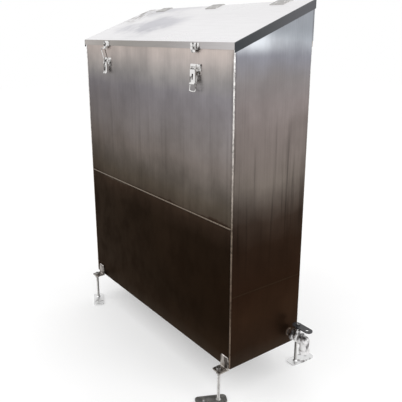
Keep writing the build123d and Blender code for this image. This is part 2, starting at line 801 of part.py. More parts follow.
def hex_nut(x, y, z, across_flats, height, bore_radius):
    """Hexagon nut with chamfered corners, standing on height z."""
    with BuildPart() as nut:
        with BuildSketch(Plane.XY.offset(z)):
            with Locations((x, y)):
                RegularPolygon(across_flats / 2, 6, major_radius=False)
        extrude(amount=height)
        with Locations((x, y, z)):
            Cone(across_flats / 2, across_flats / 2 + height, height, align=standing, mode=Mode.INTERSECT)
            Cone(across_flats / 2 + height, across_flats / 2, height, align=standing, mode=Mode.INTERSECT)
        with Locations((x, y, z + height / 2)):
            Cylinder(bore_radius, 2 * height, mode=Mode.SUBTRACT)
    return nut.part


def foot_plate(x, y, heading):
    """Flat bar foot: the rod and its weld collar near the heel, an anchor hole near the toe."""
    toe_direction = (cos(radians(heading)), sin(radians(heading)), 0)
    with BuildPart() as foot:
        with BuildSketch(Plane(origin=(x, y, 0), x_dir=toe_direction, z_dir=(0, 0, 1))):
            with Locations((foot_length / 2 - foot_heel, 0)):
                RectangleRounded(foot_length, foot_width, foot_corner)
            with Locations((anchor_hole_reach, 0)):
                Circle(anchor_hole_radius, mode=Mode.SUBTRACT)
        extrude(amount=foot_thickness)
        with Locations((x, y, foot_thickness)):
            Cone(foot_weld_radius, rod_radius + foot_weld_lip, foot_weld_height, align=standing)
            Cylinder(rod_radius, 4 * foot_thickness, mode=Mode.SUBTRACT)
    return foot


rod_top_z = bracket_top_z + nut_height + nut_play - rod_recess_in_nut
nut_bore = rod_radius + running_clearance
for leg, heading in foot_heading.items():
    x = leg_x["right" if "right" in leg else "left"]
    outward = -1 if "front" in leg else 1
    wall_y = front_y if "front" in leg else rear_y
    rod_y = wall_y + outward * rod_out_from_wall
    save(leg_bracket(x, wall_y, outward), f"{leg}_bracket")

    with BuildPart() as rod:
        with Locations((x, rod_y, rod_above_floor)):
            Cylinder(rod_radius, rod_top_z - rod_above_floor, align=standing)
        chamfer(rod.edges().sort_by(Axis.Z)[-1], length=rod_end_chamfer)
    save(rod, f"{leg}_rod")

    upper_nut = hex_nut(x, rod_y, bracket_top_z + nut_play, nut_across_flats, nut_height, nut_bore)
    lower_nut_z = bracket_z - nut_height - nut_play
    lower_nut = hex_nut(x, rod_y, lower_nut_z, nut_across_flats, nut_height, nut_bore)
    with BuildPart() as nuts:
        add([upper_nut, lower_nut])
    save(nuts, f"{leg}_nuts")

    save(foot_plate(x, rod_y, heading), f"{leg}_foot")


# ---------------------------------------------------------------- drain valve
def turned(profile):
    """A turned piece on the drain's axis; profile points are (distance out, radius)."""
    with BuildPart() as piece:
        with BuildSketch(drain_section):
            with BuildLine():
                Polyline(*profile, close=True)
            make_face()
        revolve(axis=drain_axis)
    return piece


drain_nipple = turned([(nipple_start, pipe_bore_radius), (nipple_end, pipe_bore_radius),
                       (nipple_end, pipe_radius), (nipple_start, pipe_radius)])
save(drain_nipple, "drain_nipple")

body_start = end_nut_start + end_nut_length
nut_edge_radius = end_nut_corner_radius - end_nut_chamfer
with BuildPart() as valve_end_nut:
    with BuildSketch(Plane.YZ.offset(right_x + end_nut_start)):
        with Locations((drain_y, drain_z)):
            RegularPolygon(end_nut_across_flats / 2, 6, major_radius=False)
            Circle(pipe_radius, mode=Mode.SUBTRACT)
    extrude(amount=end_nut_length)
    with BuildSketch(drain_section):
        with BuildLine():
            Polyline((end_nut_start, 0), (end_nut_start, nut_edge_radius),
                     (end_nut_start + end_nut_chamfer, end_nut_corner_radius),
                     (body_start - end_nut_chamfer, end_nut_corner_radius), (body_start, nut_edge_radius),
                     (body_start, 0), close=True)
        make_face()
    revolve(axis=drain_axis, mode=Mode.INTERSECT)
save(valve_end_nut, "valve_end_nut")

groove_start = body_start + body_flange
groove_end = groove_start + body_groove
rim_start = body_end - body_flange
groove_radius = body_radius - body_groove_depth
bulge_middle = (ball_x + body_bulge[0], body_radius + body_bulge[1])
with BuildPart() as valve_body:
    with BuildSketch(drain_section):
        with BuildLine():
            Polyline((body_start, 0), (body_start, body_radius), (groove_start, body_radius),
                     (groove_start, groove_radius), (groove_end, groove_radius))
            ThreePointArc((groove_end, groove_radius), bulge_middle, (rim_start, groove_radius))
            Polyline((rim_start, groove_radius), (rim_start, body_radius),
                     (body_end, body_radius), (body_end, 0), (body_start, 0))
        make_face()
    revolve(axis=drain_axis)
    with Locations((ball_centre_x, drain_y, drain_z)):
        Cylinder(neck_radius, neck_height, align=standing)
    with BuildSketch(Plane.YZ.offset(right_x + body_start)):
        with Locations((drain_y, drain_z)):
            Circle(pipe_bore_radius)
    extrude(amount=body_end - body_start, mode=Mode.SUBTRACT)
    with BuildSketch(Plane.YZ.offset(right_x + ball_x - cavity_half)):
        with Locations((drain_y, drain_z)):
            Circle(cavity_radius)
    extrude(amount=2 * cavity_half, mode=Mode.SUBTRACT)
    with BuildSketch(Plane.YZ.offset(right_x + body_end - elbow_spigot)):
        with Locations((drain_y, drain_z)):
            Circle(pipe_radius)
    extrude(amount=elbow_spigot, mode=Mode.SUBTRACT)
    with Locations((ball_centre_x, drain_y, drain_z)):
        Cylinder(stem_radius + running_clearance, 2 * neck_height, align=standing, mode=Mode.SUBTRACT)
save(valve_body, "valve_body")


def valve_seat(outward):
    """Soft seat ring dished to the ball, on its wall side (-1) or outlet side (1)."""
    dish_radius = ball_radius + running_clearance
    lip_x = (dish_radius ** 2 - seat_bore_radius ** 2) ** 0.5
    edge_x = ball_radius - seat_edge_back
    edge_radius = (dish_radius ** 2 - edge_x ** 2) ** 0.5
    middle_radius = (dish_radius ** 2 - seat_middle ** 2) ** 0.5
    with BuildPart() as seat:
        with BuildSketch(drain_section):
            with BuildLine():
                ThreePointArc((ball_x + outward * lip_x, seat_bore_radius),
                              (ball_x + outward * seat_middle, middle_radius),
                              (ball_x + outward * edge_x, edge_radius))
                Polyline((ball_x + outward * edge_x, edge_radius), (ball_x + outward * edge_x, cavity_radius),
                         (ball_x + outward * cavity_half, cavity_radius),
                         (ball_x + outward * cavity_half, seat_bore_radius),
                         (ball_x + outward * lip_x, seat_bore_radius))
            make_face()
        revolve(axis=drain_axis)
    return seat.part


seat_rings = [valve_seat(-1), valve_seat(1)]
with BuildPart() as valve_seats:
    add(seat_rings)
save(valve_seats, "valve_seats")

with BuildPart() as valve_ball:
    with Locations((ball_centre_x, drain_y, drain_z)):
        Sphere(ball_radius)
        Cylinder(ball_bore_radius, 4 * ball_radius, rotation=(0, 90, 0), mode=Mode.SUBTRACT)
        with Locations((0, 0, ball_radius)):
            Box(4 * ball_radius, stem_tenon[1], 2 * stem_slot_depth, mode=Mode.SUBTRACT)
save(valve_ball, "valve_ball")

tenon_z = drain_z + ball_radius - stem_slot_depth
stem_shoulder_z = tenon_z + stem_tenon[2]
stem_top_z = drain_z + handle_height + handle_thickness + handle_nut_height + stem_above_nut
with BuildPart() as valve_stem:
    with Locations((ball_centre_x, drain_y, tenon_z)):
        Box(*stem_tenon, align=standing)
    with Locations((ball_centre_x, drain_y, stem_shoulder_z)):
        Cylinder(stem_radius, stem_top_z - stem_shoulder_z, align=standing)
save(valve_stem, "valve_stem")

packing_nut = hex_nut(ball_centre_x, drain_y, drain_z + neck_height, packing_nut_across_flats,
                      packing_nut_height, stem_radius + running_clearance)
with BuildPart() as valve_packing_nut:
    add(packing_nut)
save(valve_packing_nut, "valve_packing_nut")

boss_z = drain_z + neck_height + packing_nut_height + boss_gap
handle_z = drain_z + handle_height
with BuildPart() as valve_handle:
    with BuildSketch(Plane(origin=(ball_centre_x, drain_y, handle_z))):
        with Locations(((handle_reach - handle_tail) / 2, 0)):
            RectangleRounded(handle_reach + handle_tail, handle_width, handle_width / 2 - handle_end_flat)
        with Locations((handle_reach - handle_hole_from_end, 0)):
            Circle(handle_hole_radius, mode=Mode.SUBTRACT)
    extrude(amount=handle_thickness)
    with BuildSketch(Plane(origin=(ball_centre_x, drain_y, boss_z))):
        Circle(handle_boss_radius)
    extrude(amount=handle_z - boss_z)
    with Locations((ball_centre_x, drain_y, handle_z)):
        Cylinder(stem_radius, 4 * handle_boss_radius, mode=Mode.SUBTRACT)
save(valve_handle, "valve_handle")

handle_nut = hex_nut(ball_centre_x, drain_y, handle_z + handle_thickness, handle_nut_across_flats,
                     handle_nut_height, stem_radius)
with BuildPart() as valve_handle_nut:
    add(handle_nut)
save(valve_handle_nut, "valve_handle_nut")

elbow_x = right_x + elbow_drop_x
elbow_start_x = right_x + body_end
mouth_z = drain_z - elbow_end_drop
out_from_wall = Plane(origin=(elbow_start_x, drain_y, drain_z), x_dir=(0, 1, 0), z_dir=(1, 0, 0))
with BuildPart() as valve_elbow:
    with BuildSketch(out_from_wall):
        Circle(elbow_radius)
    extrude(amount=elbow_x - elbow_start_x)
    with BuildSketch(out_from_wall):
        Circle(elbow_band_radius)
    extrude(amount=elbow_band_length)
    with BuildSketch(out_from_wall):
        Circle(pipe_radius)
    extrude(amount=-elbow_spigot)
    with Locations((elbow_x, drain_y, drain_z)):
        Sphere(elbow_radius)
        Cylinder(elbow_radius, elbow_end_drop, align=hanging)
    with Locations((elbow_x, drain_y, mouth_z + mouth_band_length)):
        Cylinder(mouth_band_radius, mouth_band_length, align=hanging)
    with BuildSketch(out_from_wall.offset(-elbow_spigot)):
        Circle(pipe_bore_radius)
    extrude(amount=elbow_x - elbow_start_x + elbow_spigot, mode=Mode.SUBTRACT)
    with Locations((elbow_x, drain_y, drain_z)):
        Sphere(pipe_bore_radius, mode=Mode.SUBTRACT)
        Cylinder(pipe_bore_radius, elbow_end_drop + 1, align=hanging, mode=Mode.SUBTRACT)
    with Locations((elbow_x, drain_y, mouth_z)):
        Cylinder(socket_radius, 2 * socket_depth, mode=Mode.SUBTRACT)
save(valve_elbow, "valve_elbow")
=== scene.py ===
"""Finishes for a latched stainless containment cabinet: sheet, welds, rods, latches and drain valve."""

import bpy
from math import cos, radians, sin
from mathutils import Euler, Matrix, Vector


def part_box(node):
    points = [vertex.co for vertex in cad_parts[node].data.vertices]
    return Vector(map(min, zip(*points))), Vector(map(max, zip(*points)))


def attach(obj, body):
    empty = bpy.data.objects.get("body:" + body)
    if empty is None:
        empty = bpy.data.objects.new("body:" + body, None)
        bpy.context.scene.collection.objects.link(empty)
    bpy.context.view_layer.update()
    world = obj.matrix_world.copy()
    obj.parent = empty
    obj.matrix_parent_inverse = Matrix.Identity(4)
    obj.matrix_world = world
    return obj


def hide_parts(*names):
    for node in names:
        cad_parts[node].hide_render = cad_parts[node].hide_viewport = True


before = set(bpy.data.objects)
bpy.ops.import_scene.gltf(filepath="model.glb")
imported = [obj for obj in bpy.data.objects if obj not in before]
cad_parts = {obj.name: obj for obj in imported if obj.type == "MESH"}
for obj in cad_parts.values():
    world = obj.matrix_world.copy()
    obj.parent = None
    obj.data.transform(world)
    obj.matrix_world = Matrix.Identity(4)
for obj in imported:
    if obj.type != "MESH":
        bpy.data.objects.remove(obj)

bl_info = {
    "name": "Containment Cabinet Finishes",
    "version": (1, 0, 0),
    "blender": (4, 5, 0),
    "location": "3D View > Sidebar > Cabinet",
    "description": "Weld beads, threaded rods, steel finishes and a studio for a containment cabinet",
    "category": "Object",
}

CORNERS = ("front_right", "rear_right", "front_left", "rear_left")
HINGE_NODES = ("hinge_lid_leaves", "hinge_wall_leaves", "hinge_pins")
MILLIMETRE = 0.001
DIAGONAL = 0.7071

# Half width and rise of each kind of weld bead.
CORNER_BEAD = {"Half Width": 3.5 * MILLIMETRE, "Rise": 3.0 * MILLIMETRE}
SEAM_BEAD = {"Half Width": 3.0 * MILLIMETRE, "Rise": 1.3 * MILLIMETRE}
PIPE_BEAD = {"Half Width": 3.2 * MILLIMETRE, "Rise": 2.2 * MILLIMETRE}
BRACKET_BEAD = {"Half Width": 2.8 * MILLIMETRE, "Rise": 2.4 * MILLIMETRE}

# How far a bead's centre lies inside the corner, and how far a bead stops short of an edge.
CORNER_INSET = 1.2 * MILLIMETRE
CORNER_END_GAP = 1.0 * MILLIMETRE
SEAM_END_GAP = 6.0 * MILLIMETRE
GABLE_SEAM_START = 78.0 * MILLIMETRE
PIPE_BEAD_OFFSET = 1.0 * MILLIMETRE
PIPE_BEAD_POINTS = 48
BRACKET_END_GAP = 4.0 * MILLIMETRE
BRACKET_BEAD_OFFSET = 1.0 * MILLIMETRE

# The folded lips, which get painted shade, begin this far outside the walls.
LIP_START = 3.4 * MILLIMETRE
LIP_FULL = 4.4 * MILLIMETRE

# Name, place, aim and side of each softbox.
SOFTBOXES = (
    ("key_softbox", (-1.6, -2.8, 3.0), (-0.1, 0.0, 0.9), 2.4),
    ("side_softbox", (3.2, 1.0, 2.2), (0.3, 0.0, 0.7), 1.8),
)
LENS_SHIFT = (0.003, -0.053)


# ------------------------------------------------------------------ settings
class SheetSettings(bpy.types.PropertyGroup):
    """Finish of the cabinet's sheet steel."""

    lid_colour: bpy.props.FloatVectorProperty(
        name="Lid Colour", description="Brushed sheet of the lid's top", subtype="COLOR", size=3,
        default=(0.83, 0.82, 0.83), min=0.0, max=1.0)
    # Colour of the painted reflection patches on the lid.
    lid_reflection_colour: bpy.props.FloatVectorProperty(
        name="Lid Cloud Colour", description="Soft cloudy patches on the lid", subtype="COLOR", size=3,
        default=(0.47, 0.465, 0.51), min=0.0, max=1.0)
    # Also the colour of the painted reflection streaks by the lid's left edge.
    scorch_and_reflection_colour: bpy.props.FloatVectorProperty(
        name="Scorch Colour", description="Oxide left beside a weld", subtype="COLOR", size=3,
        default=(0.11, 0.075, 0.045), min=0.0, max=1.0)
    grain_depth: bpy.props.FloatProperty(
        name="Grain Depth", description="How strongly the brushing catches the light", default=0.22,
        min=0.0, max=1.0)
    streak_strength: bpy.props.FloatProperty(
        name="Streak Strength", description="How dark the run marks on the walls are", default=0.42,
        min=0.0, max=1.0)
    roughness: bpy.props.FloatProperty(
        name="Roughness", description="Roughness of the brushed sheet", default=0.36, min=0.05, max=1.0)


class WeldSettings(bpy.types.PropertyGroup):
    """Size and regularity of the weld beads."""

    ripple_pitch: bpy.props.FloatProperty(
        name="Ripple Pitch", description="Distance from one ripple to the next", default=4.2 * MILLIMETRE,
        min=0.001, unit="LENGTH")
    ripple_depth: bpy.props.FloatProperty(
        name="Ripple Depth", description="Depth of a ripple as a share of the bead", default=0.16,
        min=0.0, max=0.5)
    swell: bpy.props.FloatProperty(
        name="Swell", description="How much the bead's width wanders", default=0.3, min=0.0, max=0.6)
    step: bpy.props.FloatProperty(
        name="Step", description="Distance between two sections of a bead", default=1.2 * MILLIMETRE,
        min=0.0005, unit="LENGTH")
    seed: bpy.props.IntProperty(
        name="Seed", description="Seed of the bead's unevenness", default=7, min=0)


class RodSettings(bpy.types.PropertyGroup):
    """Thread of the levelling rods."""

    thread_pitch: bpy.props.FloatProperty(
        name="Thread Pitch", description="Rise of one turn of the thread", default=1.75 * MILLIMETRE,
        min=0.0005, unit="LENGTH")
    thread_depth: bpy.props.FloatProperty(
        name="Thread Depth", description="Depth of the thread", default=0.95 * MILLIMETRE,
        min=0.0, unit="LENGTH")
    chamfer: bpy.props.FloatProperty(
        name="Chamfer", description="Length of the tapered ends", default=1.6 * MILLIMETRE,
        min=0.0, unit="LENGTH")
    sides: bpy.props.IntProperty(
        name="Sides", description="Faces round the rod", default=28, min=12, max=64)
    rings_per_turn: bpy.props.IntProperty(
        name="Rings per Turn", description="Rings of faces along one turn of the thread", default=6,
        min=4, max=12)


class FittingSettings(bpy.types.PropertyGroup):
    """Colours of the latches, feet and drain valve."""

    latch_colour: bpy.props.FloatVectorProperty(
        name="Latch Colour", description="Polished latch parts", subtype="COLOR", size=3,
        default=(0.80, 0.79, 0.78), min=0.0, max=1.0)
    # The valve handle is given this plain dark colour.
    handle_colour: bpy.props.FloatVectorProperty(
        name="Handle Colour", description="Coated valve handle", subtype="COLOR", size=3,
        default=(0.022, 0.021, 0.024), min=0.0, max=1.0)
    valve_colour: bpy.props.FloatVectorProperty(
        name="Valve Colour", description="Cast valve body", subtype="COLOR", size=3,
        default=(0.80, 0.79, 0.79), min=0.0, max=1.0)
    # The front-right foot plate takes this grey, and the other three plates the brighter colour below.
    front_right_foot_colour: bpy.props.FloatVectorProperty(
        name="Dull Foot Colour", description="Foot plate that has gone dull", subtype="COLOR", size=3,
        default=(0.40, 0.395, 0.38), min=0.0, max=1.0)
    other_feet_colour: bpy.props.FloatVectorProperty(
        name="Clean Foot Colour", description="Foot plate that is still bright", subtype="COLOR", size=3,
        default=(0.80, 0.80, 0.80), min=0.0, max=1.0)


class StudioSettings(bpy.types.PropertyGroup):
    """Floor, lights and camera."""

    camera_place: bpy.props.FloatVectorProperty(
        name="Camera Place", description="Where the camera stands", subtype="TRANSLATION", unit="LENGTH",
        size=3, default=(1.8288, -1.3110, 1.3610))
    camera_heading: bpy.props.FloatProperty(
        name="Camera Heading", description="Turn from facing the rear, to the left", subtype="ANGLE",
        default=radians(53.444))
    camera_dip: bpy.props.FloatProperty(
        name="Camera Dip", description="How far the camera looks down", subtype="ANGLE",
        default=radians(15.346))
    lens: bpy.props.FloatProperty(
        name="Lens", description="Focal length", default=47.44, min=1.0, unit="CAMERA")
    floor_size: bpy.props.FloatProperty(
        name="Floor Size", description="Side of the floor", default=24.0, min=1.0, unit="LENGTH")
    floor_colour: bpy.props.FloatVectorProperty(
        name="Floor Colour", description="Plain pale floor", subtype="COLOR", size=3,
        default=(0.72, 0.72, 0.72), min=0.0, max=1.0)
    floor_glow: bpy.props.FloatProperty(
        name="Floor Glow", description="Light given off by the lit floor", default=0.30, min=0.0, max=1.0)
    room_light: bpy.props.FloatProperty(
        name="Room Light", description="Brightness of the studio's walls", default=1.0, min=0.0)
    key_power: bpy.props.FloatProperty(
        name="Key Light", description="Power of the large soft light", default=30.0, min=0.0, unit="POWER")
    side_power: bpy.props.FloatProperty(
        name="Side Light", description="Power of the soft light beside the drain", default=28.0,
        min=0.0, unit="POWER")


# -------------------------------------------------------------- places
def place(node):
    """Lowest and highest corner of a frame node."""
    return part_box(node)


def wall_box():
    """Left, right, front and rear of the cabinet's walls, and the height of the gable seam."""
    front_low, front_high = place("front_lower_panel")
    rear_high = place("rear_lower_panel")[1]
    gable_low = place("right_gable")[0]
    return {"left": front_low[0], "right": front_high[0], "front": front_low[1], "rear": rear_high[1],
            "gable": gable_low[2]}


# ------------------------------------------------- shader building blocks
def new_finish(name, metallic, roughness):
    """A material with an empty node tree but for its shader and output."""
    material = bpy.data.materials.new(name)
    material.use_nodes = True
    tree = material.node_tree
    shader = tree.nodes["Principled BSDF"]
    shader.inputs["Metallic"].default_value = metallic
    shader.inputs["Roughness"].default_value = roughness
    return material, tree, shader


def joined(tree, value, socket):
    """Links a socket, or sets a plain number or colour."""
    if isinstance(value, bpy.types.NodeSocket):
        tree.links.new(value, socket)
    elif hasattr(value, "__len__") and len(value) == 3 and socket.type == "RGBA":
        socket.default_value = (*value, 1.0)
    else:
        socket.default_value = value


def math(tree, operation, first, second=0.0, clamp=False):
    """One maths step."""
    step = tree.nodes.new("ShaderNodeMath")
    step.operation = operation
    step.use_clamp = clamp
    joined(tree, first, step.inputs[0])
    joined(tree, second, step.inputs[1])
    return step.outputs[0]


def coordinates(tree):
    """Object coordinates, and the same split into X, Y and Z."""
    source = tree.nodes.new("ShaderNodeTexCoord").outputs["Object"]
    split = tree.nodes.new("ShaderNodeSeparateXYZ")
    tree.links.new(source, split.inputs[0])
    return source, split.outputs


def noise(tree, source, stretch, detail=3.0, roughness=0.55, offset=(0.0, 0.0, 0.0)):
    """Noise in the frame's metres, stretched by a scale for each axis."""
    mapping = tree.nodes.new("ShaderNodeMapping")
    mapping.inputs["Scale"].default_value = stretch
    mapping.inputs["Location"].default_value = offset
    tree.links.new(source, mapping.inputs["Vector"])
    texture = tree.nodes.new("ShaderNodeTexNoise")
    texture.inputs["Scale"].default_value = 1.0
    texture.inputs["Detail"].default_value = detail
    texture.inputs["Roughness"].default_value = roughness
    tree.links.new(mapping.outputs[0], texture.inputs["Vector"])
    return texture.outputs["Fac"]


def span(tree, value, start, end, low=0.0, high=1.0, smooth=True):
    """A value carried from start..end onto low..high, and held beyond."""
    step = tree.nodes.new("ShaderNodeMapRange")
    step.interpolation_type = "SMOOTHSTEP" if smooth else "LINEAR"
    for socket, number in zip(step.inputs[:5], (value, start, end, low, high)):
        joined(tree, number, socket)
    return step.outputs["Result"]


def near(tree, value, centre, reach):
    """1 where the value is at centre, falling to 0 at reach away."""
    away = math(tree, "ABSOLUTE", math(tree, "SUBTRACT", value, centre))
    return span(tree, away, 0.0, reach, 1.0, 0.0)


def height_colour(tree, value, low, high, stops):
    """Colour by height from (height in metres, colour) stops."""
    ramp = tree.nodes.new("ShaderNodeValToRGB")
    bands = ramp.color_ramp.elements
    while len(bands) > 1:
        bands.remove(bands[-1])
    for index, (level, colour) in enumerate(stops):
        position = (level - low) / (high - low)
        band = bands[0] if index == 0 else bands.new(position)
        band.position = position
        band.color = (*colour, 1.0)
    joined(tree, span(tree, value, low, high, smooth=False), ramp.inputs[0])
    return ramp.outputs["Color"]


def mixed(tree, share, first, second, blend="MIX"):
    """Two colours mixed by share."""
    step = tree.nodes.new("ShaderNodeMix")
    step.data_type = "RGBA"
    step.blend_type = blend
    joined(tree, share, step.inputs["Factor"])
    joined(tree, first, step.inputs[6])
    joined(tree, second, step.inputs[7])
    return step.outputs[2]


def dimmed(tree, colour, gain):
    """A colour multiplied by a grey gain."""
    grey = tree.nodes.new("ShaderNodeCombineColor")
    for channel in grey.inputs:
        joined(tree, gain, channel)
    return mixed(tree, 1.0, colour, grey.outputs[0], "MULTIPLY")


def raised(tree, shader, height, strength, distance):
    """Bump from a height."""
    bump = tree.nodes.new("ShaderNodeBump")
    bump.inputs["Strength"].default_value = strength
    bump.inputs["Distance"].default_value = distance
    joined(tree, height, bump.inputs["Height"])
    tree.links.new(bump.outputs[0], shader.inputs["Normal"])


def dress(node, material):
    """Puts a material on every slot of a frame node."""
    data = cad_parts[node].data
    if not data.materials:
        data.materials.append(material)
    for index in range(len(data.materials)):
        data.materials[index] = material


# -------------------------------------------------------- sheet steel
# Colour by height of the wall sheets: a painted reflection of the room, dark brown at the foot and bright
# near the lid.
FRONT_REFLECTION_STOPS = (
    (0.140, (0.030, 0.021, 0.015)), (0.20, (0.015, 0.0085, 0.0050)), (0.30, (0.0085, 0.0045, 0.0024)),
    (0.48, (0.0090, 0.0048, 0.0026)), (0.60, (0.0110, 0.0064, 0.0038)), (0.66, (0.021, 0.0130, 0.0088)),
    (0.697, (0.033, 0.021, 0.0145)), (0.70, (0.058, 0.045, 0.034)), (0.75, (0.078, 0.064, 0.050)),
    (0.80, (0.096, 0.082, 0.070)), (0.90, (0.160, 0.138, 0.126)), (1.00, (0.188, 0.170, 0.167)),
    (1.10, (0.196, 0.182, 0.190)), (1.15, (0.212, 0.200, 0.212)), (1.20, (0.265, 0.252, 0.250)),
    (1.24, (0.355, 0.328, 0.315)), (1.27, (0.44, 0.395, 0.375)), (1.31, (0.50, 0.44, 0.41)))
SIDE_REFLECTION_STOPS = (
    (0.140, (0.036, 0.025, 0.018)), (0.20, (0.026, 0.014, 0.0085)), (0.32, (0.029, 0.0145, 0.0080)),
    (0.43, (0.021, 0.0100, 0.0055)), (0.60, (0.022, 0.0120, 0.0075)), (0.70, (0.036, 0.024, 0.018)),
    (0.75, (0.066, 0.051, 0.042)), (0.80, (0.112, 0.093, 0.080)), (0.85, (0.158, 0.134, 0.117)),
    (0.95, (0.180, 0.152, 0.139)), (1.05, (0.198, 0.168, 0.158)), (1.12, (0.245, 0.212, 0.206)),
    (1.20, (0.245, 0.226, 0.226)), (1.28, (0.230, 0.230, 0.258)), (1.337, (0.30, 0.315, 0.345)),
    (1.34, (0.29, 0.31, 0.34)), (1.45, (0.25, 0.262, 0.285)))


def brushed_wall(name, stops, across, painted_light_gains, scorch_marks, settings, streaks,
                 painted_highlight_seam=None, clouds=0.14):
    """Brushed wall sheet, darkened towards the foot by a painted reflection, with run marks and scorched
    edges.

    across is the wall's level axis, and painted_light_gains are the painted light and shade at the two ends
    of that axis.
    A scorch mark is (axis, place, reach, strength)."""
    walls = wall_box()
    material, tree, shader = new_finish(name, 1.0, settings.roughness)
    source, axis = coordinates(tree)
    low, high = stops[0][0], stops[-1][0]
    ends = (walls["left"], walls["right"]) if across == "X" else (walls["front"], walls["rear"])
    grain = noise(tree, source, (900.0, 900.0, 5.0), detail=4.0, roughness=0.7)
    brushing = noise(tree, source, (260.0, 260.0, 1.6), detail=2.0)
    cloud = noise(tree, source, (5.0, 5.0, 3.6), detail=4.0, offset=(1.7, 0.4, 2.3))
    wander = math(tree, "MULTIPLY", math(tree, "SUBTRACT", cloud, 0.5), 0.09)
    # Painted reflection: the colour by height from the stops, its edge wandering with the cloud noise.
    colour = height_colour(tree, math(tree, "ADD", axis["Z"], wander), low, high, stops)
    # Painted light and shade: brighter or darker across the wall, and brought up to full brightness near the
    # lid.
    level = span(tree, axis[across], ends[0], ends[1], painted_light_gains[0], painted_light_gains[1], smooth=False)
    painted_light_near_lid = span(tree, axis["Z"], 1.10, 1.27)
    level = math(tree, "ADD", level, math(tree, "MULTIPLY", painted_light_near_lid, math(tree, "SUBTRACT", 1.0, level)))
    mottling = span(tree, cloud, 0.3, 0.7, 1.0 - clouds, 1.0 + clouds)
    brush_gain = span(tree, math(tree, "ADD", math(tree, "MULTIPLY", grain, 0.55),
                                 math(tree, "MULTIPLY", brushing, 0.45)), 0.32, 0.68, 0.93, 1.07)
    streak = noise(tree, source, (34.0, 34.0, 1.4), detail=3.0, offset=(5.1, 3.7, 0.6))
    streak_zone = math(tree, "MULTIPLY", span(tree, axis["Z"], 0.42, 0.72),
                       span(tree, axis["Z"], 0.95, 1.12, 1.0, 0.0))
    run_mark = math(tree, "MULTIPLY", span(tree, streak, 0.5, 0.68), streak_zone)
    run_gain = math(tree, "SUBTRACT", 1.0, math(tree, "MULTIPLY", run_mark, streaks))
    gain = math(tree, "MULTIPLY", math(tree, "MULTIPLY", level, mottling),
                math(tree, "MULTIPLY", brush_gain, run_gain))
    colour = dimmed(tree, colour, gain)
    ragged = noise(tree, source, (70.0, 70.0, 70.0), detail=4.0)
    for mark_axis, mark_place, reach, strength in scorch_marks:
        band = near(tree, axis[mark_axis], mark_place, reach)
        share = math(tree, "MULTIPLY", math(tree, "MULTIPLY", band, span(tree, ragged, 0.3, 0.6, 0.35, 1.0)),
                     strength)
        colour = mixed(tree, share, colour, dimmed(tree, colour, 0.36))
        edge = near(tree, axis[mark_axis], mark_place, reach * 0.45)
        colour = mixed(tree, math(tree, "MULTIPLY", math(tree, "MULTIPLY", edge, ragged), strength * 0.6),
                       colour, settings.scorch_and_reflection_colour)
    # Painted highlight: a pale band along the gable seam, strongest near the front.
    if painted_highlight_seam is not None:
        seam_highlight = math(tree, "MULTIPLY", near(tree, axis["Z"], painted_highlight_seam, 0.05),
                    span(tree, axis["Y"], walls["front"] + 0.08, walls["rear"] - 0.06, 1.0, 0.12))
        seam_highlight = math(tree, "MULTIPLY", seam_highlight, span(tree, cloud, 0.3, 0.6, 0.35, 0.8))
        colour = mixed(tree, seam_highlight, colour, (0.72, 0.75, 0.79))
    tree.links.new(colour, shader.inputs["Base Color"])
    smear = noise(tree, source, (14.0, 14.0, 9.0), detail=3.0, offset=(0.2, 7.1, 4.4))
    dull = math(tree, "ADD", span(tree, smear, 0.3, 0.7, -0.07, 0.10), math(tree, "MULTIPLY", grain, 0.08))
    joined(tree, math(tree, "ADD", dull, settings.roughness), shader.inputs["Roughness"])
    shader.inputs["Anisotropic"].default_value = 0.4
    shader.inputs["Specular Tint"].default_value = (0.62, 0.58, 0.55, 1.0)
    raised(tree, shader, grain, settings.grain_depth, 0.0004)
    return material


